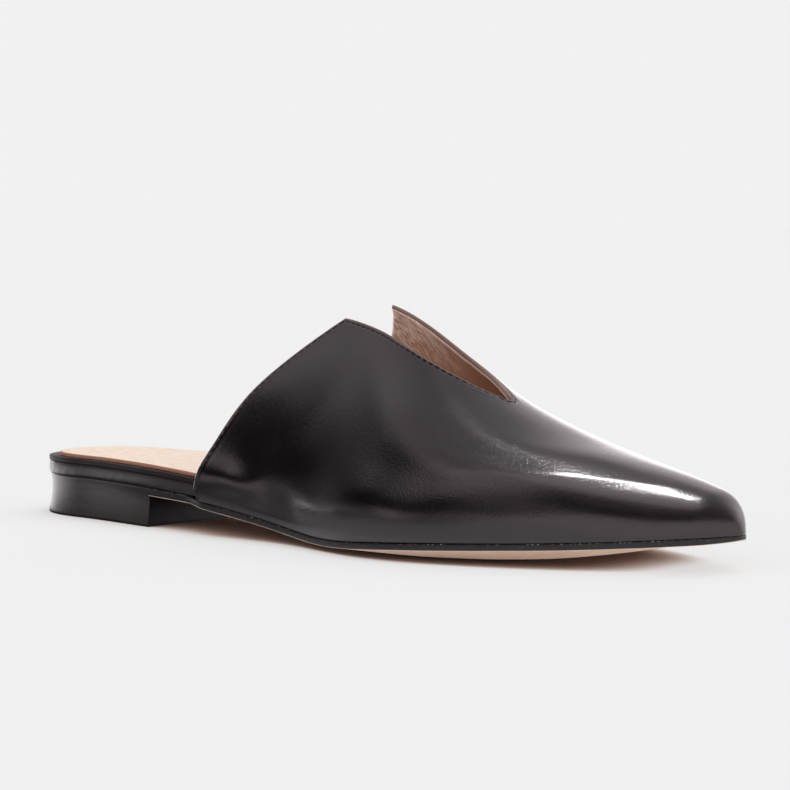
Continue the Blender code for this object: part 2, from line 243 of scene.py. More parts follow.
# How far the leather stands off the last on the lateral side, in millimetres. The columns are runs,
# named in hundredths: it is slack low down, fuller in a fold near its back edge, and drawn in above
# the feather line of the waist.
FULLNESS = Table("station r00 r07 r14 r22 r32 r43 r54 r66 r80 crown past_crown medial", [
    (92, 0, 0.15, 0.55, -0.35, -0.65, -0.15, 0.05, 0, 0, 0, 0, 0),
    (104, 0, 0, 0.85, -0.35, 0, 0.85, 0.55, 0, 0, 0, 0, 0),
    (116, 0, -0.20, 0.45, 0.95, 1.20, 1.55, 0.95, -0.05, 0, 0, 0, 0),
    (128, 0, -0.15, 0.70, 1.85, 1.65, 1.20, 0.75, 0, 0, 0, 0, 0),
    (142, 0, 0.20, 1.10, 1.25, 0.80, 0.25, -0.15, 0.05, 0, 0, 0, 0),
    (158, 0, 0.45, 1.20, 0.25, -1.00, -1.00, -0.35, -0.35, -0.45, 0, 0, 0),
    (176, 0, 0.95, 1.15, -0.05, -1.15, -0.85, -0.70, -0.65, -0.50, 0.05, 0, 0),
    (194, 0, 0.60, 0.60, 0.35, 0.10, 0.10, -0.75, -0.70, -0.75, -0.10, 0, 0),
    (208, 0, 0.35, 0.75, 0.60, 0.65, 0.55, -0.30, -0.30, -0.55, -0.30, 0, 0),
    (222, 0, 0.25, 0.75, 0.75, 0.90, 0.85, 0.50, 0.35, 0.35, 0, 0, 0),
    (236, 0, -0.05, 0.05, 0.10, 0.05, 0, -0.15, -0.10, 0.10, 0.10, 0, 0),
    (248, 0, -0.20, -0.35, -0.45, -0.55, -0.55, -0.45, -0.30, 0, 0.15, 0.05, 0),
    (259, 0, -0.05, -0.10, -0.15, -0.20, -0.20, -0.15, -0.05, 0, 0, 0, 0),
    (267, 0, 0, 0, 0, 0, 0, 0, 0, 0, 0, 0, 0)])
FULLNESS_RUNS = (0.0, 0.07, 0.14, 0.22, 0.32, 0.43, 0.54, 0.66, 0.80, 1.0, 1.25, 1.6)


def smooth_step(value: Array, low: float, high: float) -> Array:
    """0 below low, 1 above high, with a soft change between."""
    share = np.clip((np.asarray(value, float) - low) / (high - low), 0.0, 1.0)
    return share * share * (3 - 2 * share)


@dataclass
class Last:
    """Sizes and curves that the pieces share.

    Attributes:
        length: heel back to toe tip.
        ball_width: width that the tables' widths are shares of.
        heel_height: floor to the seam above the heel block.
        instep_height: floor to the highest point of the crown line.
        heel_centre: station of the origin.
        gap: clearance between pieces that touch.
        heel_radius: station where the round back end is full.
        heel_squareness: 2 is a half round back end, more is squarer.
        toe_radius: how far back the toe's outline is rounded.
        nose_radius: how far back the toe's height is rounded.
        nose_fullness: below 1 keeps the height further forward.
        stand: the vamp and the sole under it, beyond the board's outline.
        feather_tuck: how far the vamp's bottom edge turns in.
        tuck_run: run over which it turns in.
        waist_station: where the outsole starts to widen.
        vamp_station: where the outsole has widened, and the vamp is over it.
        breast_station: front of the heel block.
        sole_edge_height: of the outsole's edge under the vamp.
        waist_edge_height: of the outsole's edge behind it.
        tip_edge_height: of the outsole's edge at the toe tip.
        midsole_heel: thickness of the midsole at the heel.
        midsole_ball: thickness of the midsole at the ball.
        midsole_inset: how far the midsole stops short of the toe tip.
        board_thickness: of the insole board.
        inside_spread: how much wider the layers are inside the vamp.
    """

    length: float
    ball_width: float
    heel_height: float
    instep_height: float
    heel_centre: float
    gap: float = 0.06 * MM
    heel_radius: float = 26.6 * MM
    heel_squareness: float = 2.1
    toe_radius: float = 9.3 * MM
    nose_radius: float = 11.0 * MM
    nose_fullness: float = 0.8
    stand: float = 4.3 * MM
    feather_tuck: float = 0.45 * MM
    tuck_run: float = 0.035
    waist_station: float = 82.0 * MM
    vamp_station: float = 95.0 * MM
    breast_station: float = 64.4 * MM
    sole_edge_height: float = 1.8 * MM
    waist_edge_height: float = 2.3 * MM
    tip_edge_height: float = 1.2 * MM
    midsole_heel: float = 4.2 * MM
    midsole_ball: float = 2.0 * MM
    midsole_inset: float = 3.6 * MM
    board_thickness: float = 1.45 * MM
    inside_spread: float = 1.2 * MM

    def __post_init__(self) -> None:
        """Reads the tables as curves of the station."""
        self.outline = {side: OUTLINE.curve(side.name.lower(), self.length, self.ball_width)
                        for side in Side}
        self.seam = SEAM.curve("height", self.length, self.heel_height)
        self.bottom = BOTTOM.curve("height", self.length, self.heel_height)
        self.crown = CROWN.curve("height", self.length, self.instep_height)
        self.crown_offset = SECTION.curve("offset", self.length, self.ball_width)
        self.midsole_tip = self.length - self.midsole_inset

    def heel_rounding(self, station: Array, start: float = 0.0) -> Array:
        """Share of the width left by the round back end of a piece that starts at start."""
        reach = np.clip(1 - (station - start) / (self.heel_radius - start), 0.0, 1.0)
        return (1 - reach ** self.heel_squareness) ** (1 / self.heel_squareness)

    def toe_rounding(self, station: Array, tip: Optional[float] = None,
                     radius: Optional[float] = None) -> Array:
        """Share of the width, or height, left by the round toe end of a piece.

        Args:
            station: where to read it.
            tip: station of the piece's own front end.
            radius: how far back the rounding starts.

        Returns:
            1 behind the rounding, down to 0 at the tip.
        """
        tip = self.length if tip is None else tip
        radius = self.toe_radius if radius is None else radius
        reach = np.clip((station - tip + radius) / radius, 0.0, 1.0)
        return np.sqrt(1 - reach ** 2)

    def half_width(self, station: Array, sign: Array, stand: Array, start: float = 0.0,
                   tip: Optional[float] = None) -> Array:
        """Distance from the middle plane to a piece's outline, with its ends rounded.

        Args:
            station: where to read it.
            sign: below 0 on the lateral side.
            stand: how far the piece stands out from the board's outline.
            start: station of the piece's back end.
            tip: station of its front end.

        Returns:
            Half widths, never negative.
        """
        rounding = self.heel_rounding(station, start) * self.toe_rounding(station, tip)
        plain = np.where(np.asarray(sign) < 0, self.outline[Side.LATERAL](station),
                         self.outline[Side.MEDIAL](station))
        return (plain + stand) * rounding

    def sole_stand(self, station: Array) -> Array:
        """How far the outsole stands out: flush behind the vamp, wider under it."""
        return self.stand * smooth_step(station, self.waist_station, self.vamp_station)

    def edge_height(self, station: Array) -> Array:
        """Height of the outsole's black edge, thinner where it curls up at the toe tip.

        Args:
            station: where to read it.

        Returns:
            Heights.
        """
        forward = smooth_step(station, self.breast_station, self.vamp_station)
        edge = self.waist_edge_height + (self.sole_edge_height - self.waist_edge_height) * forward
        tip = self.toe_rounding(station, radius=self.nose_radius)
        return self.tip_edge_height + (edge - self.tip_edge_height) * tip

    def inside_stand(self, station: Array) -> Array:
        """How far the layers fill out inside the vamp, less again at the narrow toe."""
        wider = smooth_step(station, self.vamp_station, self.vamp_station + 10 * MM)
        return self.inside_spread * (wider - smooth_step(station, 0.80 * self.length, self.length))

    def midsole_top(self, station: Array) -> Array:
        """Top of the covered midsole, which thins under the ball.

        Args:
            station: where to read it.

        Returns:
            Heights above the floor.
        """
        thinner = smooth_step(station, self.vamp_station, 0.60 * self.length)
        thick = self.midsole_heel + (self.midsole_ball - self.midsole_heel) * thinner
        return self.seam(station) + thick + self.gap / 2

    def board_top(self, station: Array) -> Array:
        """Top of the insole board."""
        return self.midsole_top(station) + self.gap + self.board_thickness


# --- Shader expressions ------------------------------------------------------------------------

Term = Union[float, "Wire"]


class Wire:
    """A shader socket in an expression: each operator adds its Math node."""

    def __init__(self, shader: "Shader", socket: Optional[bpy.types.NodeSocket]) -> None:
        """Keeps the socket and the shader whose nodes it belongs to."""
        self.shader = shader
        self.socket = socket

    def __add__(self, other: Term) -> "Wire":
        """Sum."""
        return self.shader.math("ADD", self, other)

    def __sub__(self, other: Term) -> "Wire":
        """Difference."""
        return self.shader.math("SUBTRACT", self, other)

    def __rsub__(self, other: Term) -> "Wire":
        """Difference from a number."""
        return self.shader.math("SUBTRACT", other, self)

    def __mul__(self, other: Term) -> "Wire":
        """Product."""
        return self.shader.math("MULTIPLY", self, other)

    def __pow__(self, other: Term) -> "Wire":
        """Power."""
        return self.shader.math("POWER", self, other)

    def __abs__(self) -> "Wire":
        """Distance from 0."""
        return self.shader.math("ABSOLUTE", self)

    __radd__ = __add__
    __rmul__ = __mul__


class Shader:
    """Nodes of one material or world, made through a few short methods."""

    def __init__(self, owner: Union[bpy.types.Material, bpy.types.World]) -> None:
        """Starts with an empty node tree.

        Args:
            owner: the material or world.
        """
        owner.use_nodes = True
        self.tree = owner.node_tree
        self.tree.nodes.clear()

    def node(self, kind: str, settings: Optional[Dict[str, Any]] = None,
             sockets: Optional[Dict[Any, Any]] = None, output: Union[int, str] = 0) -> Wire:
        """Adds any node.

        Args:
            kind: the node's type.
            settings: properties that are set first.
            sockets: value or Wire of each input, by name or number among the enabled inputs.
            output: name or number of the enabled output that is returned.

        Returns:
            That output.
        """
        node = self.tree.nodes.new(kind)
        for name, value in (settings or {}).items():
            setattr(node, name, value)
        inputs = [socket for socket in node.inputs if socket.enabled]
        for key, value in (sockets or {}).items():
            socket = inputs[key] if isinstance(key, int) else next(
                s for s in inputs if s.name == key)
            if isinstance(value, Wire):
                self.tree.links.new(value.socket, socket)
            elif socket.type == "RGBA" and len(value) == 3:
                socket.default_value = (*value, 1.0)
            else:
                socket.default_value = value
        outputs = [socket for socket in node.outputs if socket.enabled]
        if not outputs:
            return Wire(self, None)
        found = outputs[output] if isinstance(output, int) else next(
            s for s in outputs if s.name == output)
        return Wire(self, found)

    def math(self, operation: str, *terms: Term) -> Wire:
        """One Math node on these terms."""
        return self.node("ShaderNodeMath", {"operation": operation}, dict(enumerate(terms)))

    def place(self) -> Wire:
        """Object coordinates, in metres."""
        return self.node("ShaderNodeTexCoord", output="Object")

    def direction(self) -> Wire:
        """Direction in which a world is seen."""
        return self.node("ShaderNodeTexCoord", output="Generated")

    def axis(self, name: str, vector: Optional[Wire] = None) -> Wire:
        """X, Y or Z of a vector, or of the object coordinates."""
        return self.node("ShaderNodeSeparateXYZ", {}, {"Vector": vector or self.place()}, name)

    def facing(self, name: str) -> Wire:
        """X, Y or Z of the surface's normal."""
        return self.axis(name, self.node("ShaderNodeNewGeometry", output="Normal"))

    def combined(self, parts: Sequence[Wire]) -> Wire:
        """Colour of three parts: red, green and blue."""
        return self.node("ShaderNodeCombineXYZ", {}, dict(zip("XYZ", parts)))

    def ray(self, kind: str) -> Wire:
        """1 for a Camera or a Glossy ray, and 0 for others."""
        return self.node("ShaderNodeLightPath", output=f"Is {kind} Ray")

    def mark(self, name: str) -> Wire:
        """A number kept on the mesh's vertices."""
        return self.node("ShaderNodeAttribute", {"attribute_name": name}, output="Fac")

    def noise(self, size: float, detail: float = 2.0, rough: float = 0.5,
              vector: Optional[Wire] = None) -> Wire:
        """Noise from 0 to 1 with features of about that size in metres."""
        return self.node("ShaderNodeTexNoise", {}, {
            "Vector": vector or self.place(), "Scale": 1.0 / size, "Detail": detail,
            "Roughness": rough})

    def grain(self, scale: Triple, detail: float = 3.0, rough: float = 0.6,
              turn: Triple = (0.0, 0.0, 0.0)) -> Wire:
        """Noise drawn out in one direction.

        Args:
            scale: features for each metre along each axis.
            detail: of the noise.
            rough: of the noise.
            turn: how the axes are turned first, in radians.

        Returns:
            Values from 0 to 1.
        """
        turned = self.node("ShaderNodeMapping", {}, {"Vector": self.place(), "Rotation": turn})
        scaled = self.node("ShaderNodeMapping", {}, {"Vector": turned, "Scale": scale})
        return self.noise(1.0, detail, rough, scaled)

    def cells(self, size: float, feature: str = "F1") -> Wire:
        """Distance to the nearest cell's point, in shares of a cell."""
        return self.node("ShaderNodeTexVoronoi", {"feature": feature}, {
            "Vector": self.place(), "Scale": 1.0 / size}, output="Distance")

    def rise(self, value: Wire, low: float, high: float) -> Wire:
        """0 below low, 1 above high, soft between."""
        return self.node("ShaderNodeMapRange", {"interpolation_type": "SMOOTHSTEP"}, {
            "Value": value, "From Min": low, "From Max": high})

    def fall(self, value: Wire, low: float, high: float) -> Wire:
        """1 below low, 0 above high, soft between."""
        return 1 - self.rise(value, low, high)

    def blend(self, factor: Term, first: Union[Colour, Wire],
              second: Union[Colour, Wire]) -> Wire:
        """Mix of two colours."""
        return self.node("ShaderNodeMix", {"data_type": "RGBA"}, {
            "Factor": factor, "A": first, "B": second})

    def bump(self, height: Wire, depth: float) -> Wire:
        """Normal of a surface that rises by depth as height goes from 0 to 1."""
        return self.node("ShaderNodeBump", {}, {"Height": height, "Distance": depth})

    def principled(self, **sockets: Any) -> None:
        """Ends the material in a Principled surface.

        Args:
            sockets: its values and Wires, named with underscores for spaces.
        """
        named = {name.replace("_", " "): value for name, value in sockets.items()}
        surface = self.node("ShaderNodeBsdfPrincipled", {}, named)
        self.node("ShaderNodeOutputMaterial", {}, {"Surface": surface})


# --- Finishes ----------------------------------------------------------------------------------


@dataclass(frozen=True)
class Finish:
    """A surface finish. Each kind paints its own nodes."""

    name: str

    def material(self) -> bpy.types.Material:
        """Makes the material.

        Returns:
            The material, painted.
        """
        made = bpy.data.materials.new(self.name)
        self.paint(Shader(made))
        return made

    def paint(self, shader: Shader) -> None:
        """Adds the nodes."""
        raise NotImplementedError


@dataclass(frozen=True)
class SmoothLeather(Finish):
    """Black calf with a fine pore grain, browner where it is turned over at an edge, where a
    painted highlight also shows.
    """

    colour: Colour = (0.0048, 0.0027, 0.0034)
    faded: Colour = (0.0085, 0.0055, 0.0066)
    edge: Colour = (0.080, 0.049, 0.044)
    medial_edge_highlight: Colour = (0.26, 0.165, 0.135)
    sheen: Colour = (1.0, 0.92, 0.955)
    pore: float = 0.75 * MM
    pore_depth: float = 0.034 * MM
    roughness: float = 0.165
    unevenness: float = 0.04
    edge_roughness: float = 0.30

    def paint(self, shader: Shader) -> None:
        """Pores, a soft orange peel under them, and a paler turned edge, partly a painted
        highlight.

        Args:
            shader: takes the nodes.
        """
        rim = shader.fall(shader.mark("rim"), 1.2 * MM, 1.6 * MM)
        cloud = shader.noise(18 * MM, 3.0)
        base = shader.blend(shader.rise(cloud, 0.35, 0.75), self.colour, self.faded)
        # painted highlight: the turned edge's colour is partly a painted highlight, and the much
        # paler medial edge is almost all painted highlight
        medial = shader.rise(shader.axis("Y"), 0.0, 10 * MM)
        turned = shader.blend(medial, self.edge, self.medial_edge_highlight)
        base = shader.blend(rim * 0.9, base, turned)
        pores = shader.rise(shader.cells(self.pore), 0.05, 0.55)
        fine = shader.noise(0.22 * MM, 2.0, 0.6)
        peel = shader.noise(1.7 * MM, 2.0)
        height = pores * 0.55 + fine * 0.25 + peel * 0.5
        rough = self.roughness + self.unevenness * cloud + self.edge_roughness * rim
        shader.principled(Base_Color=base, Roughness=rough, IOR=1.52, Specular_Tint=self.sheen,
                          Normal=shader.bump(height, self.pore_depth))


@dataclass(frozen=True)
class CoverLeather(Finish):
    """The grainier black leather wrapped round the midsole."""

    colour: Colour = (0.012, 0.009, 0.010)
    high_spot_tone: Colour = (0.036, 0.029, 0.031)
    sheen: Colour = (1.0, 0.93, 0.965)
    pebble: float = 0.75 * MM
    depth: float = 0.05 * MM

    def paint(self, shader: Shader) -> None:
        """Coarse pebbled grain and leaning wrinkles, paler on the high spots.

        Args:
            shader: takes the nodes.
        """
        pebble = shader.cells(self.pebble, "SMOOTH_F1")
        fine = shader.noise(0.25 * MM, 3.0, 0.65)
        wrinkle = shader.grain((200.0, 300.0, 900.0), turn=(0.0, 0.85, 0.0))
        high = shader.rise(pebble + wrinkle * 0.5, 0.35, 1.0)
        # the high spots of the grain and wrinkles are paler
        base = shader.blend(high * 0.35, self.colour, self.high_spot_tone)
        height = pebble * 0.9 + fine * 0.5 + wrinkle * 0.8
        shader.principled(Base_Color=base, Roughness=0.34 + 0.12 * fine, IOR=1.5,
                          Specular_Tint=self.sheen, Normal=shader.bump(height, self.depth))


@dataclass(frozen=True)
class LiningLeather(Finish):
    """Brown-tan satin lining, finely wrinkled, paler along its cut edge."""

    colour: Colour = (0.38, 0.182, 0.112)
    warm: Colour = (0.39, 0.168, 0.086)
    pale: Colour = (0.86, 0.68, 0.60)
    depth: float = 0.22 * MM

    def paint(self, shader: Shader) -> None:
        """Cloudy tan with painted highlights on the creases near the edge, strongest at the medial
        peak.

        Args:
            shader: takes the nodes.
        """
        cloud = shader.noise(9 * MM, 3.0)
        base = shader.blend(shader.rise(cloud, 0.3, 0.7), self.colour, self.warm)
        crease = shader.grain((320.0, 450.0, 1700.0), turn=(0.0, -0.95, 0.0))
        fine = shader.noise(0.3 * MM, 2.0, 0.6)
        edge = shader.mark("rim")
        # painted highlight: pale streaks on the creases near the edge, strongest at the medial
        # peak, for the light the wrinkles catch
        peak = (shader.fall(shader.axis("X"), 99 * MM, 122 * MM)
                * (0.25 + 0.75 * shader.rise(shader.axis("Y"), -8 * MM, 8 * MM)))
        upper = shader.fall(edge, 5 * MM, 18 * MM) * (0.08 + 0.92 * peak)
        base = shader.blend(shader.rise(crease, 0.38, 0.66) * upper * 0.9, base, self.pale)
        base = shader.blend(shader.fall(edge, 1.4 * MM, 2.0 * MM) * 0.35, base, self.pale)
        shader.principled(Base_Color=base, Roughness=0.40 + 0.12 * cloud, IOR=1.48,
                          Normal=shader.bump(crease + fine * 0.25, self.depth))


@dataclass(frozen=True)
class Suede(Finish):
    """Pale peach suede with a redder cut edge."""

    colour: Colour = (0.87, 0.72, 0.61)
    mottle: Colour = (0.80, 0.62, 0.49)
    cut: Colour = (0.44, 0.20, 0.12)
    depth: float = 0.10 * MM

    def paint(self, shader: Shader) -> None:
        """Mottled nap over a fibrous bump.

        Args:
            shader: takes the nodes.
        """
        cloud = shader.noise(3.2 * MM, 5.0, 0.65)
        base = shader.blend(shader.rise(cloud, 0.40, 0.68), self.colour, self.mottle)
        base = shader.blend(shader.rise(shader.mark("side"), 0.35, 0.75), base, self.cut)
        nap = shader.noise(0.28 * MM, 4.0, 0.7)
        shader.principled(Base_Color=base, Roughness=0.92, Sheen_Weight=0.15,
                          Sheen_Roughness=0.5, Normal=shader.bump(nap + cloud * 0.6, self.depth))


@dataclass(frozen=True)
class DyedBoard(Finish):
    """Dark dyed fibre edge of the insole board."""

    colour: Colour = (0.013, 0.0065, 0.0075)
    worn: Colour = (0.034, 0.018, 0.019)
    depth: float = 0.03 * MM

    def paint(self, shader: Shader) -> None:
        """Matt ink with faint streaks along the edge.

        Args:
            shader: takes the nodes.
        """
        streak = shader.grain((160.0, 160.0, 2400.0), 4.0)
        base = shader.blend(shader.rise(streak, 0.45, 0.80), self.colour, self.worn)
        shader.principled(Base_Color=base, Roughness=0.58 + 0.1 * streak, IOR=1.3,
                          Normal=shader.bump(streak, self.depth))


@dataclass(frozen=True)
class EdgeInk(Finish):
    """Black waxed ink on the outsole's cut edge."""

    colour: Colour = (0.010, 0.008, 0.009)
    wax: Colour = (0.030, 0.026, 0.028)
    chalk: Colour = (0.50, 0.45, 0.43)
    depth: float = 0.06 * MM

    def paint(self, shader: Shader) -> None:
        """Uneven wax over the leather's layers, with pale specks of glue along its top.

        Args:
            shader: takes the nodes.
        """
        layers = shader.grain((220.0, 220.0, 1500.0))
        blot = shader.noise(1.1 * MM, 3.0, 0.6)
        base = shader.blend(shader.rise(blot, 0.50, 0.78), self.colour, self.wax)
        speck = shader.rise(shader.noise(0.7 * MM, 2.0, 0.6), 0.58, 0.66)
        patch = shader.rise(shader.noise(16 * MM, 2.0), 0.42, 0.60)
        top = shader.rise(shader.mark("level"), 0.86, 0.97)
        base = shader.blend(speck * patch * top, base, self.chalk)
        shader.principled(Base_Color=base, Roughness=0.42 + 0.16 * layers, IOR=1.38,
                          Normal=shader.bump(layers + blot * 0.7, self.depth))


@dataclass(frozen=True)
class SoleLeather(Finish):
    """Natural tan sole leather, with a painted highlight at its corner and painted shade where it
    treads, inked above.
    """

    colour: Colour = (0.80, 0.53, 0.38)
    dark: Colour = (0.68, 0.42, 0.29)
    corner: Colour = (0.86, 0.68, 0.55)
    worn: Colour = (0.15, 0.065, 0.038)
    ink: Colour = (0.012, 0.010, 0.011)
    depth: float = 0.04 * MM

    def paint(self, shader: Shader) -> None:
        """Fibres along the shoe, cloudy patches, and painted shade on the tread.

        Args:
            shader: takes the nodes.
        """
        fibre = shader.grain((180.0, 900.0, 900.0), 4.0)
        cloud = shader.noise(14 * MM, 3.0)
        patches = shader.rise(fibre * 0.6 + cloud * 0.4, 0.38, 0.70)
        base = shader.blend(patches, self.colour, self.dark)
        # painted highlight: the side faces are paler, as light along the corner under the inked
        # edge
        base = shader.blend(shader.mark("side"), base, self.corner)
        # painted shade: darker red-brown near the floor, standing in for the deep shade under the
        # crowned bottom
        tread = shader.fall(shader.axis("Z"), 0.4 * MM, 1.3 * MM)
        base = shader.blend(tread, base, self.worn)
        base = shader.blend(shader.rise(shader.facing("Z"), 0.3, 0.6), base, self.ink)
        shader.principled(Base_Color=base, Roughness=0.50 + 0.15 * fibre,
                          Normal=shader.bump(fibre, self.depth))


@dataclass(frozen=True)
class HeelLacquer(Finish):
    """Black lacquer on a stacked heel, with faint level streaks."""

    colour: Colour = (0.012, 0.0085, 0.0095)
    bloom: Colour = (0.026, 0.020, 0.022)
    painted_shade: Colour = (0.004, 0.004, 0.0045)
    sheen: Colour = (1.0, 0.93, 0.965)
    foot_shade_height: float = 0.7 * MM
    depth: float = 0.05 * MM

    def paint(self, shader: Shader) -> None:
        """Faint streaks and fine grain, with painted shade on the breast and along the foot.

        Args:
            shader: takes the nodes.
        """
        streak = shader.grain((110.0, 110.0, 1100.0), 4.0, 0.62)
        mottle = shader.noise(1.6 * MM, 4.0, 0.65)
        height = streak * 0.4 + mottle * 0.6
        base = shader.blend(shader.rise(height, 0.42, 0.72), self.colour, self.bloom)
        # painted shade: a black band along the foot, for the dark contact line under the rounded
        # edge
        low = shader.fall(shader.axis("Z"), self.foot_shade_height, self.foot_shade_height * 1.3)
        # painted shade: the breast, facing forward under the arch, is darkened to the same black
        breast = shader.rise(shader.facing("X"), 0.80, 0.95)
        base = shader.blend(shader.math("MAXIMUM", low, breast), base, self.painted_shade)
        shader.principled(Base_Color=base, Roughness=0.30 + 0.10 * mottle + 0.3 * low,
                          Specular_Tint=self.sheen, Normal=shader.bump(height, self.depth))


@dataclass(frozen=True)
class Thread(Finish):
    """Black waxed thread."""

    colour: Colour = (0.006, 0.005, 0.006)
    depth: float = 0.04 * MM

    def paint(self, shader: Shader) -> None:
        """Twisted strands as a fine bump."""
        normal = shader.bump(shader.noise(0.18 * MM, 2.0), self.depth)
        shader.principled(Base_Color=self.colour, Roughness=0.60, Normal=normal)


# --- Mesh helpers ------------------------------------------------------------------------------


def laid_grid(bm: bmesh.types.BMesh, columns: int, rows: int,
              place: Callable[[Array, Array], Array]) -> List[bmesh.types.BMVert]:
    """Grid whose vertices are moved to place(along, up), with both shares from 0 to 1.

    Args:
        bm: mesh to add it to.
        columns: faces along.
        rows: faces up.
        place: gives the points for arrays of shares.

    Returns:
        The grid's vertices.
    """
    vertices = bmesh.ops.create_grid(bm, x_segments=columns, y_segments=rows, size=0.5)["verts"]
    flat = np.array([vertex.co for vertex in vertices])
    along = np.round((flat[:, 0] + 0.5) * columns) / columns
    up = np.round((flat[:, 1] + 0.5) * rows) / rows
    for vertex, point in zip(vertices, place(along, up)):
        vertex.co = point
    return vertices


def lay_out(share: Array, groups: Spacing) -> Array:
    """Spaces columns or rows in groups.

    Args:
        share: even shares from 0 to 1.
        groups: how many steps a group has, and the value that it reaches.

    Returns:
        The value of each share.
    """
    counts = np.cumsum([0] + [count for count, _ in groups])
    reached = np.array([0.0] + [value for _, value in groups])
    return np.interp(share * counts[-1], counts, reached)


def points_of(bm: bmesh.types.BMesh) -> Array:
    """Positions of all vertices."""
    return np.array([vertex.co for vertex in bm.verts])


def lengths_along(line: Array) -> Array:
    """Distance of each point of a line from its first, along the line."""
    return np.concatenate([[0], np.cumsum(np.linalg.norm(np.diff(line, axis=0), axis=1))])


def units(vectors: Array) -> Array:
    """Directions of an array of vectors."""
    return vectors / (np.linalg.norm(vectors, axis=1, keepdims=True) + 1e-12)


def closed_up(bm: bmesh.types.BMesh, merge: float) -> None:
    """Merges doubled points, fills the holes that are left, and turns the faces outwards.

    Args:
        bm: the mesh.
        merge: points nearer than this become one.
    """
    bmesh.ops.remove_doubles(bm, verts=bm.verts, dist=merge)
    bmesh.ops.holes_fill(bm, edges=[edge for edge in bm.edges if edge.is_boundary])
    bmesh.ops.recalc_face_normals(bm, faces=bm.faces)
    bm.normal_update()


def push(bm: bmesh.types.BMesh, amounts: Array) -> None:
    """Moves each vertex along its normal.

    Args:
        bm: the mesh.
        amounts: how far each vertex goes.
    """
    bm.normal_update()
    moves = [vertex.normal * float(amount) for vertex, amount in zip(bm.verts, amounts)]
    for vertex, move in zip(bm.verts, moves):
        vertex.co += move
    bm.normal_update()


def write_mark(bm: bmesh.types.BMesh, name: str, values: Array) -> None:
    """Keeps a number on each vertex, which a finish can read by name.

    Args:
        bm: the mesh.
        name: of the numbers.
        values: one for each vertex.
    """
    layer = bm.verts.layers.float.get(name) or bm.verts.layers.float.new(name)
    for vertex, value in zip(bm.verts, values):
        vertex[layer] = float(value)


def upright_share(bm: bmesh.types.BMesh) -> Array:
    """1 where the surface stands upright, and 0 where it is level."""
    return np.array([1 - vertex.normal.z ** 2 for vertex in bm.verts])


def streaks(points: Array, length: float, width: float, lean: float, seed: float) -> Array:
    """Long noise streaks on an upright surface.

    Args:
        points: positions.
        length: size of a streak along itself.
        width: distance between streaks.
        lean: angle of the streaks above level, in radians.
        seed: picks another pattern.

    Returns:
        Values from about -1 to 1.
    """
    around = np.arctan2(points[:, 1], points[:, 0]) * SEAT_RADIUS
    level = points[:, 2]
    along = (around * math.cos(lean) + level * math.sin(lean)) / length
    across = (-around * math.sin(lean) + level * math.cos(lean)) / width
    return np.array([noise.noise((a, b, seed)) for a, b in zip(along, across)])


def finished(name: str, bm: bmesh.types.BMesh, finish: Finish,
             replaced: Sequence[str] = (), sharp: float = 50.0) -> bpy.types.Object:
    """Turns a mesh into a piece that rides on the shoe.

    Args:
        name: the piece's name.
        bm: its mesh, which is freed.
        finish: its finish.
        replaced: CAD nodes it stands for.
        sharp: edges above this angle in degrees stay sharp.

    Returns:
        The piece.
    """
    mesh = bpy.data.meshes.new(name)
    bm.to_mesh(mesh)
    bm.free()
    mesh.shade_smooth()
    mesh.set_sharp_from_angle(angle=math.radians(sharp))
    mesh.materials.append(finish.material())
    piece = bpy.data.objects.new(name, mesh)
    bpy.context.scene.collection.objects.link(piece)
    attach(piece, "root")
    if replaced:
        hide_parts(*replaced)
    return piece


def add_wall(piece: bpy.types.Object, thickness: float) -> None:
    """Gives a sheet its thickness, inwards."""
    wall = piece.modifiers.new("wall", "SOLIDIFY")
    wall.thickness, wall.offset = thickness, -1.0


# --- Upper -------------------------------------------------------------------------------------


@dataclass(frozen=True)
class Crease:
    """A line placed in the vamp's surface.

    Attributes:
        side: the half it lies on.
        path: its points, as station in millimetres and run.
        height: how far it stands out, in millimetres.
        width: how wide it is to each side, in millimetres.
        relief: its shape.
        fade: how far its strength takes to come in at each end, as a share of the path.
    """

    side: Side
    path: Rows
    height: float
    width: float
    relief: Relief
    fade: float


CREASES = (
    # soft fold low on the lateral side, from the back edge forwards
    Crease(Side.LATERAL, ((97, .20), (103, .155), (110, .135), (119, .17), (130, .165),
                          (141, .13), (152, .10)), 0.26, 3.2, Relief.BULGE, 0.18),
    # shoulder of the toe, from beside the throat to the nose
    Crease(Side.LATERAL, ((184, .32), (192, .355), (201, .40), (212, .455), (224, .52),
                          (238, .61), (249, .685), (256, .71)), 0.24, 2.5, Relief.RIDGE, 0.20),
)


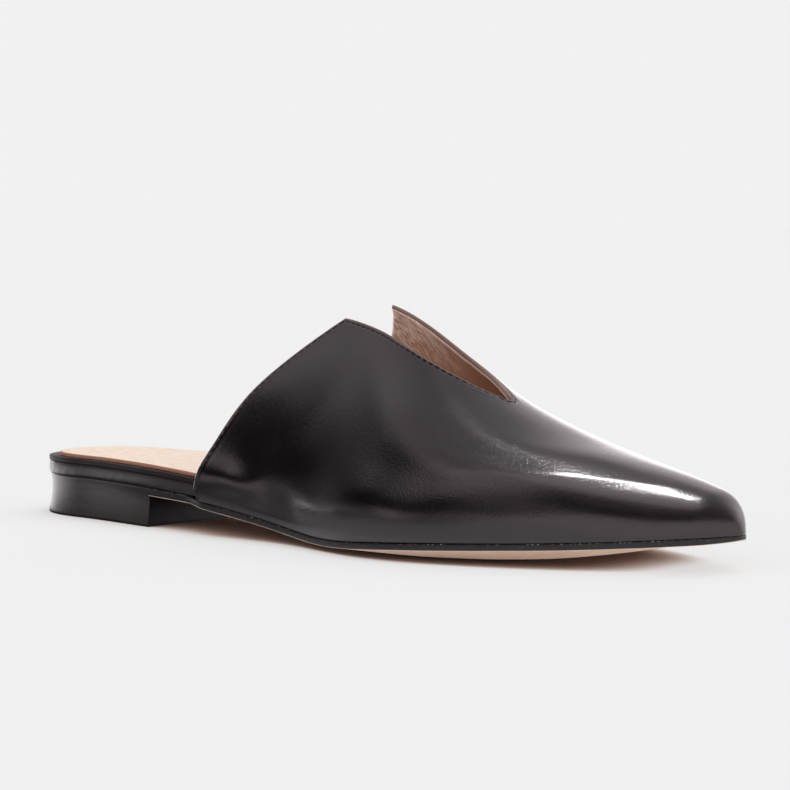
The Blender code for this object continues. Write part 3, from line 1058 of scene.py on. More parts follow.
@dataclass
class Vamp:
    """The black leather vamp with its lining and stitching.

    Attributes:
        last: the shoe's form.
        throat_tip: station of the V's bottom, as a share of the length.
        v_share: share of the columns that end on the edge of the V.
        leather: thickness of the outer leather.
        lining: thickness of the lining.
        lining_inset: how far the lining stops short of the edge.
        lining_lift: where the lining starts above the seam, as a share of the run.
        stitch_inset: distance of the stitches from the edge.
        stitch_pitch: distance between stitches.
        stitch_width: half the thread's width.
        stitch_height: half the thread's height.
        stitch_sink: share of the pitch where the thread dips in at each end.
        stitch_rise: how far the thread's middle stands off the leather.
        glue: gap between leather and lining.
        wrinkle_height: of the lining's wrinkles.
        reach: the vamp's length, as a share of the shoe's.
        half_section: about the length of a half section's run.
        closing: last share of the V's way, where its edge turns in to the crown line.
        columns: how the leather's columns are spaced.
        rows: how its rows are spaced.
        lining_columns: how the lining's columns are spaced.
        lining_rows: how its rows are spaced.
        shapes: curves of each half, by name.
        surface: the leather's outer surface, once it is built.
    """

    last: Last
    throat_tip: float = 0.690
    v_share: float = 0.44
    leather: float = 1.25 * MM
    lining: float = 0.6 * MM
    lining_inset: float = 0.8 * MM
    lining_lift: float = 0.05
    stitch_inset: float = 1.5 * MM
    stitch_pitch: float = 2.6 * MM
    stitch_width: float = 0.27 * MM
    stitch_height: float = 0.22 * MM
    stitch_sink: float = 0.10
    stitch_rise: float = 0.02 * MM
    glue: float = 0.04 * MM
    wrinkle_height: float = 0.16 * MM
    reach: float = 0.6
    half_section: float = 50 * MM
    closing: float = 0.05
    columns: Spacing = ((14, 0.028), (56, 0.420), (16, 0.456), (56, 0.94), (16, 1.0))
    rows: Spacing = ((5, 0.03), (48, 0.93), (18, 1.0))
    lining_columns: Spacing = ((6, 0.028), (60, 0.420), (10, 0.456), (40, 0.94), (12, 0.985))
    lining_rows: Spacing = ((50, 0.95), (8, 1.0))
    shapes: Dict[Side, Dict[str, Curve]] = field(default_factory=dict)
    surface: Optional[bvhtree.BVHTree] = None

    def __post_init__(self) -> None:
        """Reads the vamp's own tables."""
        last = self.last
        for side in Side:
            column = side.name.lower()
            self.shapes[side] = {
                "rise": SECTION.curve(f"{column}_rise", last.length),
                "spread": SECTION.curve(f"{column}_spread", last.length),
                "lean": SECTION.curve(f"{column}_lean", last.length, last.ball_width),
                "back": BACK_EDGE.curve(column, 1.0, last.length),
                "v_run": V_EDGE.curve(column)}

    def point(self, station: Array, run: Array, side: Side) -> Array:
        """Outer surface of the last.

        Args:
            station: where along the shoe.
            run: how far up the half section.
            side: the half.

        Returns:
            Points for the arrays of stations and runs.
        """
        last, shape = self.last, self.shapes[side]
        station = np.minimum(station, last.length)
        nose = last.toe_rounding(station, radius=last.nose_radius)
        base = last.half_width(station, side.value, last.stand)
        tuck = last.feather_tuck * last.toe_rounding(station)
        tuck = tuck * (1 - smooth_step(run, 0, last.tuck_run))
        foot = last.seam(station)
        height = (last.crown(station) - foot) * nose ** last.nose_fullness
        crown = last.crown_offset(station) * nose
        turn = side.value * (base + shape["lean"](station) * nose)
        shoulder = crown + (side.value * base - crown) * shape["spread"](station)
        low, high = 1 - run, run
        weights = low ** 3, 3 * low ** 2 * high, 3 * low * high ** 2, high ** 3
        across = (side.value * base, turn, shoulder, crown)
        upward = (0, shape["rise"](station) * height, height, height)
        y = sum(w * part for w, part in zip(weights, across)) - side.value * tuck
        z = foot + last.gap / 2 + sum(w * part for w, part in zip(weights, upward))
        return np.stack([station - last.heel_centre, y, z], -1)

    def place(self, along: Array, up: Array, side: Side,
              inset: float = 0.0) -> Tuple[Array, Array]:
        """Station and run of points of one half.

        Args:
            along: from the back edge, 0, to the toe tip, 1.
            up: from the seam, 0, to the top, 1: the edge of the V, or the crown line.
            side: the half.
            inset: how far the sheet stops short of the edge, in metres.

        Returns:
            Stations and runs.
        """
        last, shape = self.last, self.shapes[side]
        along = along + (1 - along) ** 8 * inset / (self.reach * last.length)
        peak, back = float(shape["back"](1.0)), float(shape["back"](0.0))
        tip = self.throat_tip * last.length
        way = np.clip(along / self.v_share, 0, 1)
        turn_in = 1 - self.closing
        open_run = shape["v_run"](np.minimum(way, turn_in))
        left = np.sqrt(np.clip((1 - way) / self.closing, 0, 1))
        open_run = np.where(way > turn_in, 1 - (1 - shape["v_run"](turn_in)) * left, open_run)
        ahead = smooth_step(along, self.v_share, self.v_share + 0.012)
        open_run = open_run - inset / self.half_section * (1 - ahead)
        beyond = tip + (along - self.v_share) / (1 - self.v_share) * (last.length - tip)
        top_station = np.where(along < self.v_share, peak + way * (tip - peak), beyond)
        low_station = back + along * (last.length - back)
        bow = (shape["back"](up) - back - up * (peak - back)) * (1 - along) ** 3
        return low_station + up * (top_station - low_station) + bow, up * open_run

    def topline(self, side: Side) -> Tuple[Array, Array]:
        """Edge of one half from the bottom of its back edge over the peak to the V's bottom.

        Args:
            side: the half.

        Returns:
            Points of the edge, and the direction from each into the leather.
        """
        share = np.linspace(0, 1, 600)
        none, full = np.zeros_like(share), np.ones_like(share)
        step = 0.004
        back = self.point(*self.place(none, share, side), side)
        back_in = self.point(*self.place(none + step, share, side), side) - back
        v_along = share * self.v_share
        edge = self.point(*self.place(v_along, full, side), side)
        edge_in = self.point(*self.place(v_along, full - 4 * step, side), side) - edge
        points = np.concatenate([back, edge[1:]])
        inward = np.concatenate([back_in, edge_in[1:]])
        tangent = units(np.gradient(points, axis=0))
        inward -= (inward * tangent).sum(1, keepdims=True) * tangent
        return points, units(inward)

    def sheet(self, columns: Spacing, rows: Spacing, inset: float = 0.0,
              lift: float = 0.0) -> bmesh.types.BMesh:
        """Both halves of an open sheet, joined along the crown line, normals outwards.

        Args:
            columns: how the columns are spaced.
            rows: how the rows are spaced.
            inset: how far the sheet stops short of the edge, in metres.
            lift: where it starts above the seam, as a share of the run.

        Returns:
            The sheet, with each vertex's station and its run over both halves.
        """
        bm = bmesh.new()
        column_count = sum(count for count, _ in columns)
        row_count = sum(count for count, _ in rows)
        nose_start = columns[-2][1]
        layers = [bm.verts.layers.float.new(name) for name in ("station", "across")]
        for side in Side:
            placed: List[Array] = []

            def put(along: Array, up: Array, side: Side = side,
                    placed: List[Array] = placed) -> Array:
                """Points of the half, its columns closing up round the nose.

                Args:
                    along: shares of the columns.
                    up: shares of the rows.
                    side: the half.
                    placed: takes the stations and runs.

                Returns:
                    The points.
                """
                along = lay_out(along, columns)
                turn = np.clip((along - nose_start) / (1 - nose_start), 0, 1)
                round_nose = nose_start + (1 - nose_start) * np.sin(turn * math.pi / 2)
                along = np.where(along > nose_start, round_nose, along)
                raised = lift + (1 - lift) * lay_out(up, rows)
                station, run = self.place(along, raised, side, inset)
                placed.extend((station, run if side is Side.LATERAL else 2 - run))
                return self.point(station, run, side)

            vertices = laid_grid(bm, column_count, row_count, put)
            for layer, values in zip(layers, placed):
                for vertex, value in zip(vertices, values):
                    vertex[layer] = float(value)
        bmesh.ops.remove_doubles(bm, verts=bm.verts, dist=TINY)
        bmesh.ops.recalc_face_normals(bm, faces=bm.faces)
        lowest = min(bm.faces, key=lambda face: face.calc_center_median().y)
        if lowest.normal.y > 0:
            bmesh.ops.reverse_faces(bm, faces=bm.faces)
        bm.normal_update()
        return bm

    def fullness(self, bm: bmesh.types.BMesh) -> Array:
        """How far the leather stands off the last, lateral side only.

        Args:
            bm: a sheet.

        Returns:
            The distance at each vertex.
        """
        layers = bm.verts.layers.float
        station, across = (np.array([vertex[layers[name]] for vertex in bm.verts])
                           for name in ("station", "across"))
        knots = np.clip(station / MM, FULLNESS.rows[0, 0], FULLNESS.rows[-1, 0])
        heights = np.array([FULLNESS.curve(column)(knots) for column in FULLNESS.columns[1:]])
        runs = np.array(FULLNESS_RUNS)
        total = np.zeros(len(station))
        for i, height in enumerate(heights):
            share = Table("run share", np.column_stack([runs, np.arange(len(runs)) == i]))
            total += share.curve("share")(np.clip(across, 0, runs[-1])) * height
        return total * MM * (1 - smooth_step(across, 1.35, runs[-1]))

    def edge_distance(self, points: Array) -> Array:
        """Distance of each point from the topline.

        Args:
            points: positions.

        Returns:
            The distances.
        """
        lines = np.concatenate([self.topline(side)[0] for side in Side])
        tree = kdtree.KDTree(len(lines))
        for i, line_point in enumerate(lines):
            tree.insert(line_point, i)
        tree.balance()
        return np.array([tree.find(point)[2] for point in points])

    def crease_relief(self, points: Array) -> Array:
        """How far the listed lines push each point outwards.

        Args:
            points: positions on the last.

        Returns:
            The distances.
        """
        total = np.zeros(len(points))
        for crease in CREASES:
            knots = np.array(crease.path)
            share = np.linspace(0, 1, len(knots))
            table = Table("share station run", np.column_stack([share, knots]))
            fine = np.linspace(0, 1, 160)
            line = self.point(table.curve("station", scale=MM)(fine), table.curve("run")(fine),
                              crease.side)
            gaps = np.linalg.norm(points[:, None, :] - line[None, :, :], axis=2)
            nearest = gaps.argmin(1)
            away = gaps[np.arange(len(points)), nearest] / (crease.width * MM)
            at = fine[nearest]
            strength = smooth_step(at, 0, crease.fade) * (1 - smooth_step(at, 1 - crease.fade, 1))
            if crease.relief is Relief.RIDGE:
                blunt = 0.4
                shape = np.exp(blunt - np.sqrt(away ** 2 + blunt ** 2))
            else:
                shape = np.exp(-away ** 2)
            own_half = smooth_step(points[:, 1] * crease.side.value, -4 * MM, 2 * MM)
            total += crease.height * MM * strength * shape * own_half
        return total

    def fold(self, distance: Array) -> Array:
        """Turned edge: a round lip, a slight bead, the stitch groove and a soft swell.

        Args:
            distance: from the topline.

        Returns:
            How far the leather stands out there.
        """
        total = -0.55 * np.clip(1 - distance / (0.85 * MM), 0, 1) ** 2.2
        for height, middle, width in ((0.08, 1.0 * MM, 0.35 * MM),
                                      (-0.17, self.stitch_inset, 0.28 * MM),
                                      (0.05, 2.7 * MM, 0.6 * MM)):
            total += height * np.exp(-((distance - middle) / width) ** 2)
        return total * MM

    def build_leather(self, finish: Finish) -> bpy.types.Object:
        """Outer leather with its folded edge and creases.

        Args:
            finish: of the leather.

        Returns:
            The piece.
        """
        bm = self.sheet(self.columns, self.rows)
        points = points_of(bm)
        distance = self.edge_distance(points)
        # the turned edge's brown and its painted highlight fade out towards its foot
        low = 1 - smooth_step(points[:, 2], 14 * MM, 34 * MM)
        write_mark(bm, "rim", distance + 1.5 * MM * low)
        push(bm, self.fold(distance) + self.crease_relief(points) + self.fullness(bm))
        self.surface = bvhtree.BVHTree.FromBMesh(bm)
        piece = finished("vamp", bm, finish, ("upper",))
        add_wall(piece, self.leather)
        return piece

    def build_lining(self, finish: Finish) -> bpy.types.Object:
        """Lining inside the leather, finely wrinkled near the edge.

        Args:
            finish: of the lining.

        Returns:
            The piece.
        """
        bm = self.sheet(self.lining_columns, self.lining_rows, self.lining_inset,
                        self.lining_lift)
        points = points_of(bm)
        distance = self.edge_distance(points)
        write_mark(bm, "rim", distance)
        wrinkle = np.array([noise.noise((x * 330 + z * 420, y * 120, (x - z) * 90))
                            for x, y, z in points])
        near = 1 - smooth_step(distance, 4 * MM, 26 * MM)
        amount = self.crease_relief(points) + self.fullness(bm) - self.leather - self.glue
        push(bm, amount + wrinkle * self.wrinkle_height * near)
        piece = finished("vamp_lining", bm, finish)
        add_wall(piece, self.lining)
        return piece

    def stitch_line(self) -> Array:
        """Line of the stitches over the whole topline, at its inset from the edge.

        Returns:
            Its points.
        """
        lateral, lateral_in = self.topline(Side.LATERAL)
        medial, medial_in = self.topline(Side.MEDIAL)
        turn = np.linspace(0, 1, 14)[1:-1, None]
        forward = np.array([0.9, 0, -0.4]) * (turn * (1 - turn) * 4)
        fan = units(lateral_in[-2] * (1 - turn) + medial_in[-2] * turn + forward)
        edge = np.concatenate([lateral[:-1], np.repeat(lateral[-1:], len(fan), 0),
                               medial[-2::-1]])
        inward = np.concatenate([lateral_in[:-1], fan, medial_in[-2::-1]])
        line = edge + inward * self.stitch_inset
        distance = self.edge_distance(line)
        return line[distance > 0.94 * self.stitch_inset]

    def build_stitches(self, finish: Finish) -> bpy.types.Object:
        """One thread stitch after another, sunk in the groove.

        Args:
            finish: of the thread.

        Returns:
            The piece.
        """
        line = self.stitch_line()
        lengths = lengths_along(line)
        count = int(lengths[-1] / self.stitch_pitch)
        bm = bmesh.new()
        for i in range(count):
            ends = np.array([self.stitch_sink, 1 - self.stitch_sink]) + i
            ends *= lengths[-1] / count
            start, end = (Vector([np.interp(at, lengths, line[:, axis]) for axis in range(3)])
                          for at in ends)
            spot, normal, _, _ = self.surface.find_nearest((start + end) / 2)
            along = (end - start).normalized()
            across = normal.cross(along).normalized()
            turn = Matrix((along, across, normal)).transposed().to_4x4()
            size = Matrix.Diagonal(((end - start).length / 2, self.stitch_width,
                                    self.stitch_height, 1))
            bmesh.ops.create_uvsphere(bm, u_segments=8, v_segments=6, radius=1.0,
                                      matrix=Matrix.Translation(spot + normal * self.stitch_rise)
                                      @ turn @ size)
        return finished("topline_stitching", bm, finish)


# --- Layers of the bottom ----------------------------------------------------------------------


def edge_profile(steps: int, bulge: float, squareness: float) -> Rows:
    """Rows of level and inset for a round edge.

    Args:
        steps: rows from bottom to top.
        bulge: how far the corners lie inside the middle.
        squareness: 2 is a half round, more is squarer.

    Returns:
        The rows.
    """
    rows = []
    for i in range(steps + 1):
        level = (1 - math.cos(math.pi * i / steps)) / 2
        away = abs(2 * level - 1)
        rows.append((level, bulge * (1 - (1 - away ** squareness) ** (1 / squareness))))
    return tuple(rows)


@dataclass
class Slab:
    """A closed layer lofted from cross sections from the back to the front.

    Attributes:
        last: the shoe's form.
        columns: sections along the shoe.
        profile: rows of level and inset up its edge.
        across: shares of the half width where its top and bottom have points.
        round_back: whether its back end is round.
        round_front: whether its front end is round.
        seat: half width that an inset is full at.
    """

    last: Last
    columns: int = 320
    profile: Rows = ()
    across: Tuple[float, ...] = (0.0,)
    round_back: bool = True
    round_front: bool = True
    seat: float = 22.6 * MM

    def ends(self) -> Tuple[float, float]:
        """Stations of the back and front ends."""
        return 0.0, self.last.length

    def width(self, station: Array, sign: Array) -> Array:
        """Half width on the side of sign."""
        raise NotImplementedError

    def floor(self, station: Array, y: Array, edge: Array) -> Array:
        """Height of the bottom."""
        raise NotImplementedError

    def roof(self, station: Array, y: Array, edge: Array) -> Array:
        """Height of the top."""
        raise NotImplementedError

    def ring(self) -> Array:
        """Points round a section.

        Returns:
            Rows of across, level, inset, and 1 on the side or 0 on the top and bottom.
        """
        inner = sorted(set(self.across) - {1.0})
        span = [-share for share in reversed(inner) if share > 0] + inner
        low_inset, high_inset = self.profile[0][1], self.profile[-1][1]
        bottom = [(share, 0.0, low_inset, 0.0) for share in span]
        medial = [(1.0, level, inset, 1.0) for level, inset in self.profile]
        top = [(share, 1.0, high_inset, 0.0) for share in reversed(span)]
        lateral = [(-1.0, level, inset, 1.0) for level, inset in reversed(self.profile)]
        return np.array(bottom + medial + top + lateral)

    def spread(self, share: Array) -> Array:
        """Even shares made to close up towards the ends that are round.

        Args:
            share: even shares from back to front.

        Returns:
            The spaced shares.
        """
        if self.round_back and self.round_front:
            return (1 - np.cos(math.pi * share)) / 2
        if self.round_front:
            return np.sin(math.pi * share / 2)
        return 1 - np.cos(math.pi * share / 2)

    def loft(self) -> bmesh.types.BMesh:
        """Lofts the sections.

        Returns:
            Closed mesh of the layer, its side points marked.
        """
        bm = bmesh.new()
        ring = self.ring()
        back, front = self.ends()

        def put(along: Array, around: Array) -> Array:
            """Points of the sections.

            Args:
                along: shares from back to front.
                around: shares of the ring.

            Returns:
                The points.
            """
            station = back + (front - back) * self.spread(along)
            row = ring[np.round(around * len(ring)).astype(int) % len(ring)]
            across, level, inset = row[:, 0], row[:, 1], row[:, 2]
            edge = self.width(station, across) * (1 - inset / self.seat)
            y = across * edge
            low, high = self.floor(station, y, edge), self.roof(station, y, edge)
            shift = np.zeros_like(station)
            if self.round_back:
                shift += inset * np.maximum(0, 1 - (station - back) / self.last.heel_radius)
            if self.round_front:
                shift -= inset * np.maximum(0, 1 - (front - station) / self.last.toe_radius)
            return np.stack([station + shift - self.last.heel_centre, y,
                             low + (high - low) * level], -1)

        layer = bm.verts.layers.float.new("side")
        for i, vertex in enumerate(laid_grid(bm, self.columns, len(ring), put)):
            vertex[layer] = ring[i // (self.columns + 1) % len(ring), 3]
        closed_up(bm, 0.1 * TINY)
        return bm


@dataclass
class MidsoleCover(Slab):
    """Leather-wrapped layer whose wrinkled band shows behind the vamp.

    Attributes:
        wrinkle_height: of the band's wrinkles.
        profile: as in Slab.
    """

    wrinkle_height: float = 0.10 * MM
    profile: Rows = edge_profile(14, 0.85 * MM, 2.9)

    def ends(self) -> Tuple[float, float]:
        """Heel back to just inside the toe."""
        return 0.0, self.last.midsole_tip

    def width(self, station: Array, sign: Array) -> Array:
        """Flush with the board's outline, wider inside the vamp."""
        return self.last.half_width(station, sign, self.last.inside_stand(station),
                                    tip=self.last.midsole_tip)

    def floor(self, station: Array, y: Array, edge: Array) -> Array:
        """Just above the seam."""
        return self.last.seam(station) + self.last.gap / 2

    def roof(self, station: Array, y: Array, edge: Array) -> Array:
        """Top of the midsole."""
        return self.last.midsole_top(station) + 0 * y

    def build(self, finish: Finish) -> bpy.types.Object:
        """Loft with leaning wrinkles in its band, strongest at the back.

        Args:
            finish: of the cover.

        Returns:
            The piece.
        """
        bm = self.loft()
        points = points_of(bm)
        behind = 1 - smooth_step(points[:, 0], 30 * MM, 70 * MM)
        back = 0.55 + 0.45 * (1 - smooth_step(points[:, 0], -22 * MM, 12 * MM))
        wrinkle = streaks(points, 7 * MM, 1.0 * MM, 0.75, 3.0)
        pinch = streaks(points, 4 * MM, 2.2 * MM, 1.1, 9.0)
        sway = streaks(points, 11 * MM, 30 * MM, 0.0, 5.0)
        amount = self.wrinkle_height * ((wrinkle + pinch) * back + sway)
        push(bm, amount * upright_share(bm) * behind)
        return finished("midsole_cover", bm, finish, ("covered_midsole",))


@dataclass
class Board(Slab):
    """Thin firm insole board with a dyed edge.

    Attributes:
        inset: how far it lies inside the midsole's edge.
        short: how far it stops short of the midsole's front end.
        waver: unevenness of its cut.
        profile: as in Slab.
    """

    inset: float = 0.2 * MM
    short: float = 0.8 * MM
    waver: float = 0.05 * MM
    profile: Rows = edge_profile(8, 0.12 * MM, 4.0)

    def ends(self) -> Tuple[float, float]:
        """Heel back to just inside the toe."""
        return 0.0, self.last.midsole_tip - self.short

    def width(self, station: Array, sign: Array) -> Array:
        """A little inside the midsole's edge."""
        return self.last.half_width(station, sign, self.last.inside_stand(station) - self.inset,
                                    tip=self.ends()[1])

    def floor(self, station: Array, y: Array, edge: Array) -> Array:
        """On the midsole."""
        return self.last.midsole_top(station) + self.last.gap

    def roof(self, station: Array, y: Array, edge: Array) -> Array:
        """Top of the board."""
        return self.last.board_top(station) + 0 * y

    def build(self, finish: Finish) -> bpy.types.Object:
        """Loft with a slightly wavering cut.

        Args:
            finish: of the board.

        Returns:
            The piece.
        """
        bm = self.loft()
        push(bm, streaks(points_of(bm), 9 * MM, 20 * MM, 0.0, 12.0) * self.waver)
        return finished("board", bm, finish, ("insole_board",))


@dataclass
class Sock(Slab):
    """Suede sock lining, set in from the rim behind the vamp.

    Attributes:
        inset: how far it is set in behind the vamp.
        inside_gap: how far it lies inside the midsole's edge within the vamp.
        short: how far it stops short of the midsole's front end.
        thickness: of the suede.
        dish: how much thinner it is worn in the middle of the heel seat.
        softness: unevenness of the suede.
        across, profile: as in Slab.
    """

    inset: float = 3.6 * MM
    inside_gap: float = 0.6 * MM
    short: float = 2.0 * MM
    thickness: float = 1.1 * MM
    dish: float = 0.25 * MM
    softness: float = 0.06 * MM
    across: Tuple[float, ...] = tuple(i / 22 for i in range(22)) + (0.985,)
    profile: Rows = ((0.0, 0.05 * MM), (0.2, 0.0), (0.55, 0.0), (0.75, 0.03 * MM),
                     (0.9, 0.10 * MM), (1.0, 0.25 * MM))

    def ends(self) -> Tuple[float, float]:
        """Set in from the heel back, to inside the toe."""
        return self.inset, self.last.midsole_tip - self.short

    def width(self, station: Array, sign: Array) -> Array:
        """Set in behind the vamp and filling the shoe inside it.

        Args:
            station: where to read it.
            sign: below 0 on the lateral side.

        Returns:
            Half widths.
        """
        inside = smooth_step(station, 92 * MM, 107 * MM)
        wide = self.last.inside_stand(station) - self.inside_gap
        stand = wide * inside - self.inset * (1 - inside)
        return self.last.half_width(station, sign, stand, start=self.inset, tip=self.ends()[1])

    def floor(self, station: Array, y: Array, edge: Array) -> Array:
        """On the board."""
        return self.last.board_top(station) + self.last.gap

    def roof(self, station: Array, y: Array, edge: Array) -> Array:
        """A shallow dish at the heel seat.

        Args:
            station: where to read it.
            y: how far from the middle plane.
            edge: half width there.

        Returns:
            Heights.
        """
        middle = 1 - np.clip(np.abs(y) / np.maximum(edge, TINY), 0, 1) ** 2
        seat = 1 - smooth_step(station, 30 * MM, 85 * MM)
        return self.floor(station, y, edge) + self.thickness - self.dish * middle * seat

    def build(self, finish: Finish) -> bpy.types.Object:
        """Loft with a soft unevenness of the suede.

        Args:
            finish: of the suede.

        Returns:
            The piece.
        """
        bm = self.loft()
        soft = np.array([noise.noise(vertex.co * 90) + 0.5 * noise.noise(vertex.co * 260)
                         for vertex in bm.verts])
        push(bm, soft * self.softness)
        return finished("sock", bm, finish, ("sock_lining",))


@dataclass
class TreadLeather(Slab):
    """Tan outsole from the heel breast to the toe, crowned across and flat where it treads.

    Attributes:
        edge_skin: how far it lies inside the inked edge, and under the seam.
        crown: how square the crowned bottom is across.
        proud: how far the bottom stands below the edge's own bottom.
        round_back, across, profile: as in Slab.
    """

    edge_skin: float = 0.35 * MM
    crown: float = 4.6
    proud: float = 0.18 * MM
    round_back: bool = False
    across: Tuple[float, ...] = (0.0, 0.15, 0.3, 0.45, 0.57, 0.66, 0.73, 0.79, 0.84, 0.88, 0.91,
                                 0.935, 0.955, 0.972, 0.986)
    profile: Rows = ((0.0, 0.0), (0.25, 0.0), (0.5, 0.0), (1.0, 0.0))

    def ends(self) -> Tuple[float, float]:
        """Heel breast to just inside the toe tip."""
        return self.last.breast_station + self.last.gap, self.last.length - self.edge_skin

    def width(self, station: Array, sign: Array) -> Array:
        """Just inside the inked edge."""
        stand = self.last.sole_stand(station) - self.edge_skin
        return self.last.half_width(station, sign, stand, tip=self.ends()[1])

    def floor(self, station: Array, y: Array, edge: Array) -> Array:
        """Crowned bottom, pressed flat under the ball.

        Args:
            station: where to read it.
            y: how far from the middle plane.
            edge: half width there.

        Returns:
            Heights, never below the floor.
        """
        corner = self.last.seam(station) - self.last.edge_height(station)
        middle = np.minimum(self.last.bottom(station), corner)
        rounding = np.clip(np.abs(y) / np.maximum(edge, TINY), 0, 1) ** self.crown
        return np.maximum(0.0, middle + (corner - middle) * rounding - self.proud)

    def roof(self, station: Array, y: Array, edge: Array) -> Array:
        """A little under the seam, behind the inked edge."""
        return self.last.seam(station) - self.last.gap / 2 - self.edge_skin

    def build(self, finish: Finish) -> bpy.types.Object:
        """Plain loft."""
        return finished("tread_leather", self.loft(), finish, ("outsole",), 60.0)


@dataclass
class EdgeBand:
    """Inked edge of the outsole, from the breast round the toe and back.

    Attributes:
        last: the shoe's form.
        columns: sections along the band.
        unevenness: of its surface.
        profile: points round its section, as inset in millimetres and share of its height.
    """

    last: Last
    columns: int = 620
    unevenness: float = 0.04 * MM
    profile: Rows = (
        (0.60, 1.0), (0.32, 1.0), (0.16, 0.97), (0.05, 0.90), (0.0, 0.78), (0.0, 0.55),
        (0.0, 0.30), (0.04, 0.14), (0.14, 0.03), (0.32, -0.02), (0.60, -0.02), (0.60, 0.5))

    def path(self) -> Tuple[Array, Array]:
        """Outline of the band.

        Returns:
            Evenly spaced points as station and y, and the outward direction at each.
        """
        last = self.last
        back = last.breast_station + last.gap
        station = back + (last.length - back) * np.sin(np.linspace(0, math.pi / 2, 3000))
        halves = []
        for side in Side:
            width = last.half_width(station, side.value, last.sole_stand(station))
            halves.append(np.stack([station, side.value * width], -1))
        line = np.concatenate([halves[0], halves[1][-2::-1]])
        lengths = lengths_along(line)
        even = np.linspace(0, lengths[-1], self.columns + 1)
        points = np.stack([np.interp(even, lengths, line[:, axis]) for axis in range(2)], -1)
        tangent = units(np.gradient(points, axis=0))
        return points, np.stack([tangent[:, 1], -tangent[:, 0]], -1)

    def build(self, finish: Finish) -> bpy.types.Object:
        """Band with rounded corners, lofted along the outline.

        Args:
            finish: of the edge.

        Returns:
            The piece.
        """
        points, outward = self.path()
        ring = np.array(self.profile) * (MM, 1.0)

        def put(along: Array, around: Array) -> Array:
            """Points of the band's sections.

            Args:
                along: shares of the outline.
                around: shares of the ring.

            Returns:
                The points.
            """
            at = np.round(along * self.columns).astype(int)
            row = ring[np.round(around * len(ring)).astype(int) % len(ring)]
            station, y = points[at, 0], points[at, 1]
            top = self.last.seam(station) - self.last.gap / 2
            height = self.last.edge_height(station)
            x = station - outward[at, 0] * row[:, 0] - self.last.heel_centre
            return np.stack([x, y - outward[at, 1] * row[:, 0],
                             top - height * (1 - row[:, 1])], -1)

        bm = bmesh.new()
        laid_grid(bm, self.columns, len(ring), put)
        closed_up(bm, 0.1 * TINY)
        spots = points_of(bm)
        station = spots[:, 0] + self.last.heel_centre
        drop = self.last.seam(station) - self.last.gap / 2 - spots[:, 2]
        write_mark(bm, "level", 1 - drop / self.last.edge_height(station))
        uneven = np.array([noise.noise(vertex.co * 130) for vertex in bm.verts])
        push(bm, uneven * self.unevenness)
        return finished("sole_edge_band", bm, finish)


@dataclass
class Heel(Slab):
    """Low block heel with a flat front and a slight waist all round.

    Attributes:
        softness: width of the rounding at its corners.
        unevenness: of its surface.
        columns, round_front, across: as in Slab.
    """

    softness: float = 0.3 * MM
    unevenness: float = 0.05 * MM
    columns: int = 150
    round_front: bool = False
    across: Tuple[float, ...] = (0.0, 0.25, 0.5, 0.75, 0.92)

    def __post_init__(self) -> None:
        """Rows of level and inset: rounded foot, flare, waist and seam."""
        shape = Table("level inset", [
            (0.000, 0.30), (0.012, 0.16), (0.035, 0.08), (0.075, 0.10), (0.16, 0.26),
            (0.32, 0.52), (0.52, 0.74), (0.72, 0.76), (0.86, 0.62), (0.945, 0.44),
            (0.985, 0.42), (1.000, 0.52)]).curve("inset", scale=MM)
        levels = np.concatenate([np.linspace(0, 0.08, 7), np.linspace(0.12, 0.92, 15),
                                 np.linspace(0.945, 1.0, 5)])
        self.profile = tuple((float(level), float(shape(level))) for level in levels)

    def ends(self) -> Tuple[float, float]:
        """Heel back to the breast."""
        return 0.0, self.last.breast_station

    def width(self, station: Array, sign: Array) -> Array:
        """The board's outline."""
        return self.last.half_width(station, sign, 0.0)

    def floor(self, station: Array, y: Array, edge: Array) -> Array:
        """Flat on the floor."""
        return 0.0 * station

    def roof(self, station: Array, y: Array, edge: Array) -> Array:
        """Just under the seam."""
        return self.last.seam(station) - self.last.gap / 2

    def build(self, finish: Finish) -> bpy.types.Object:
        """Loft with softened breast corners and a faint unevenness.

        Args:
            finish: of the heel.

        Returns:
            The piece.
        """
        bm = self.loft()
        uneven = streaks(points_of(bm), 14 * MM, 2.4 * MM, 0.0, 21.0)
        push(bm, uneven * self.unevenness * upright_share(bm))
        piece = finished("heel", bm, finish, ("heel_block",), 40.0)
        soften = piece.modifiers.new("soften", "BEVEL")
        soften.width, soften.segments = self.softness, 3
        soften.limit_method, soften.angle_limit = "ANGLE", math.radians(60)
        return piece


# --- Studio ------------------------------------------------------------------------------------


@dataclass(frozen=True)
class Panel:
    """A soft-edged patch of the studio's surroundings, by direction from the shoe in degrees.

    Attributes:
        azimuth: of its middle, 0 towards -Y and 90 towards +X.
        width: half its width.
        elevation: of its middle.
        height: half its height.
        strength: what it adds to the plain surroundings, below 0 for a dark panel.
        core: share of its size that has the full strength.
    """

    azimuth: float
    width: float
    elevation: float
    height: float
    strength: float
    core: float = 0.3

    def patch(self, shader: Shader, azimuth: Wire, elevation: Wire) -> Wire:
        """What the panel adds.

        Args:
            shader: takes the nodes.
            azimuth: of the direction, in radians.
            elevation: of the direction, in radians.

        Returns:
            The light from that direction.
        """
        turned = azimuth - math.radians(self.azimuth)
        away = shader.math("ARCCOSINE", shader.math("COSINE", turned))
        lift = abs(elevation - math.radians(self.elevation))
        share: Term = 1.0
        for distance, size in ((away, self.width), (lift, self.height)):
            if size < 180:
                share = shader.fall(distance, math.radians(size * self.core),
                                    math.radians(size)) * share
        return share * self.strength


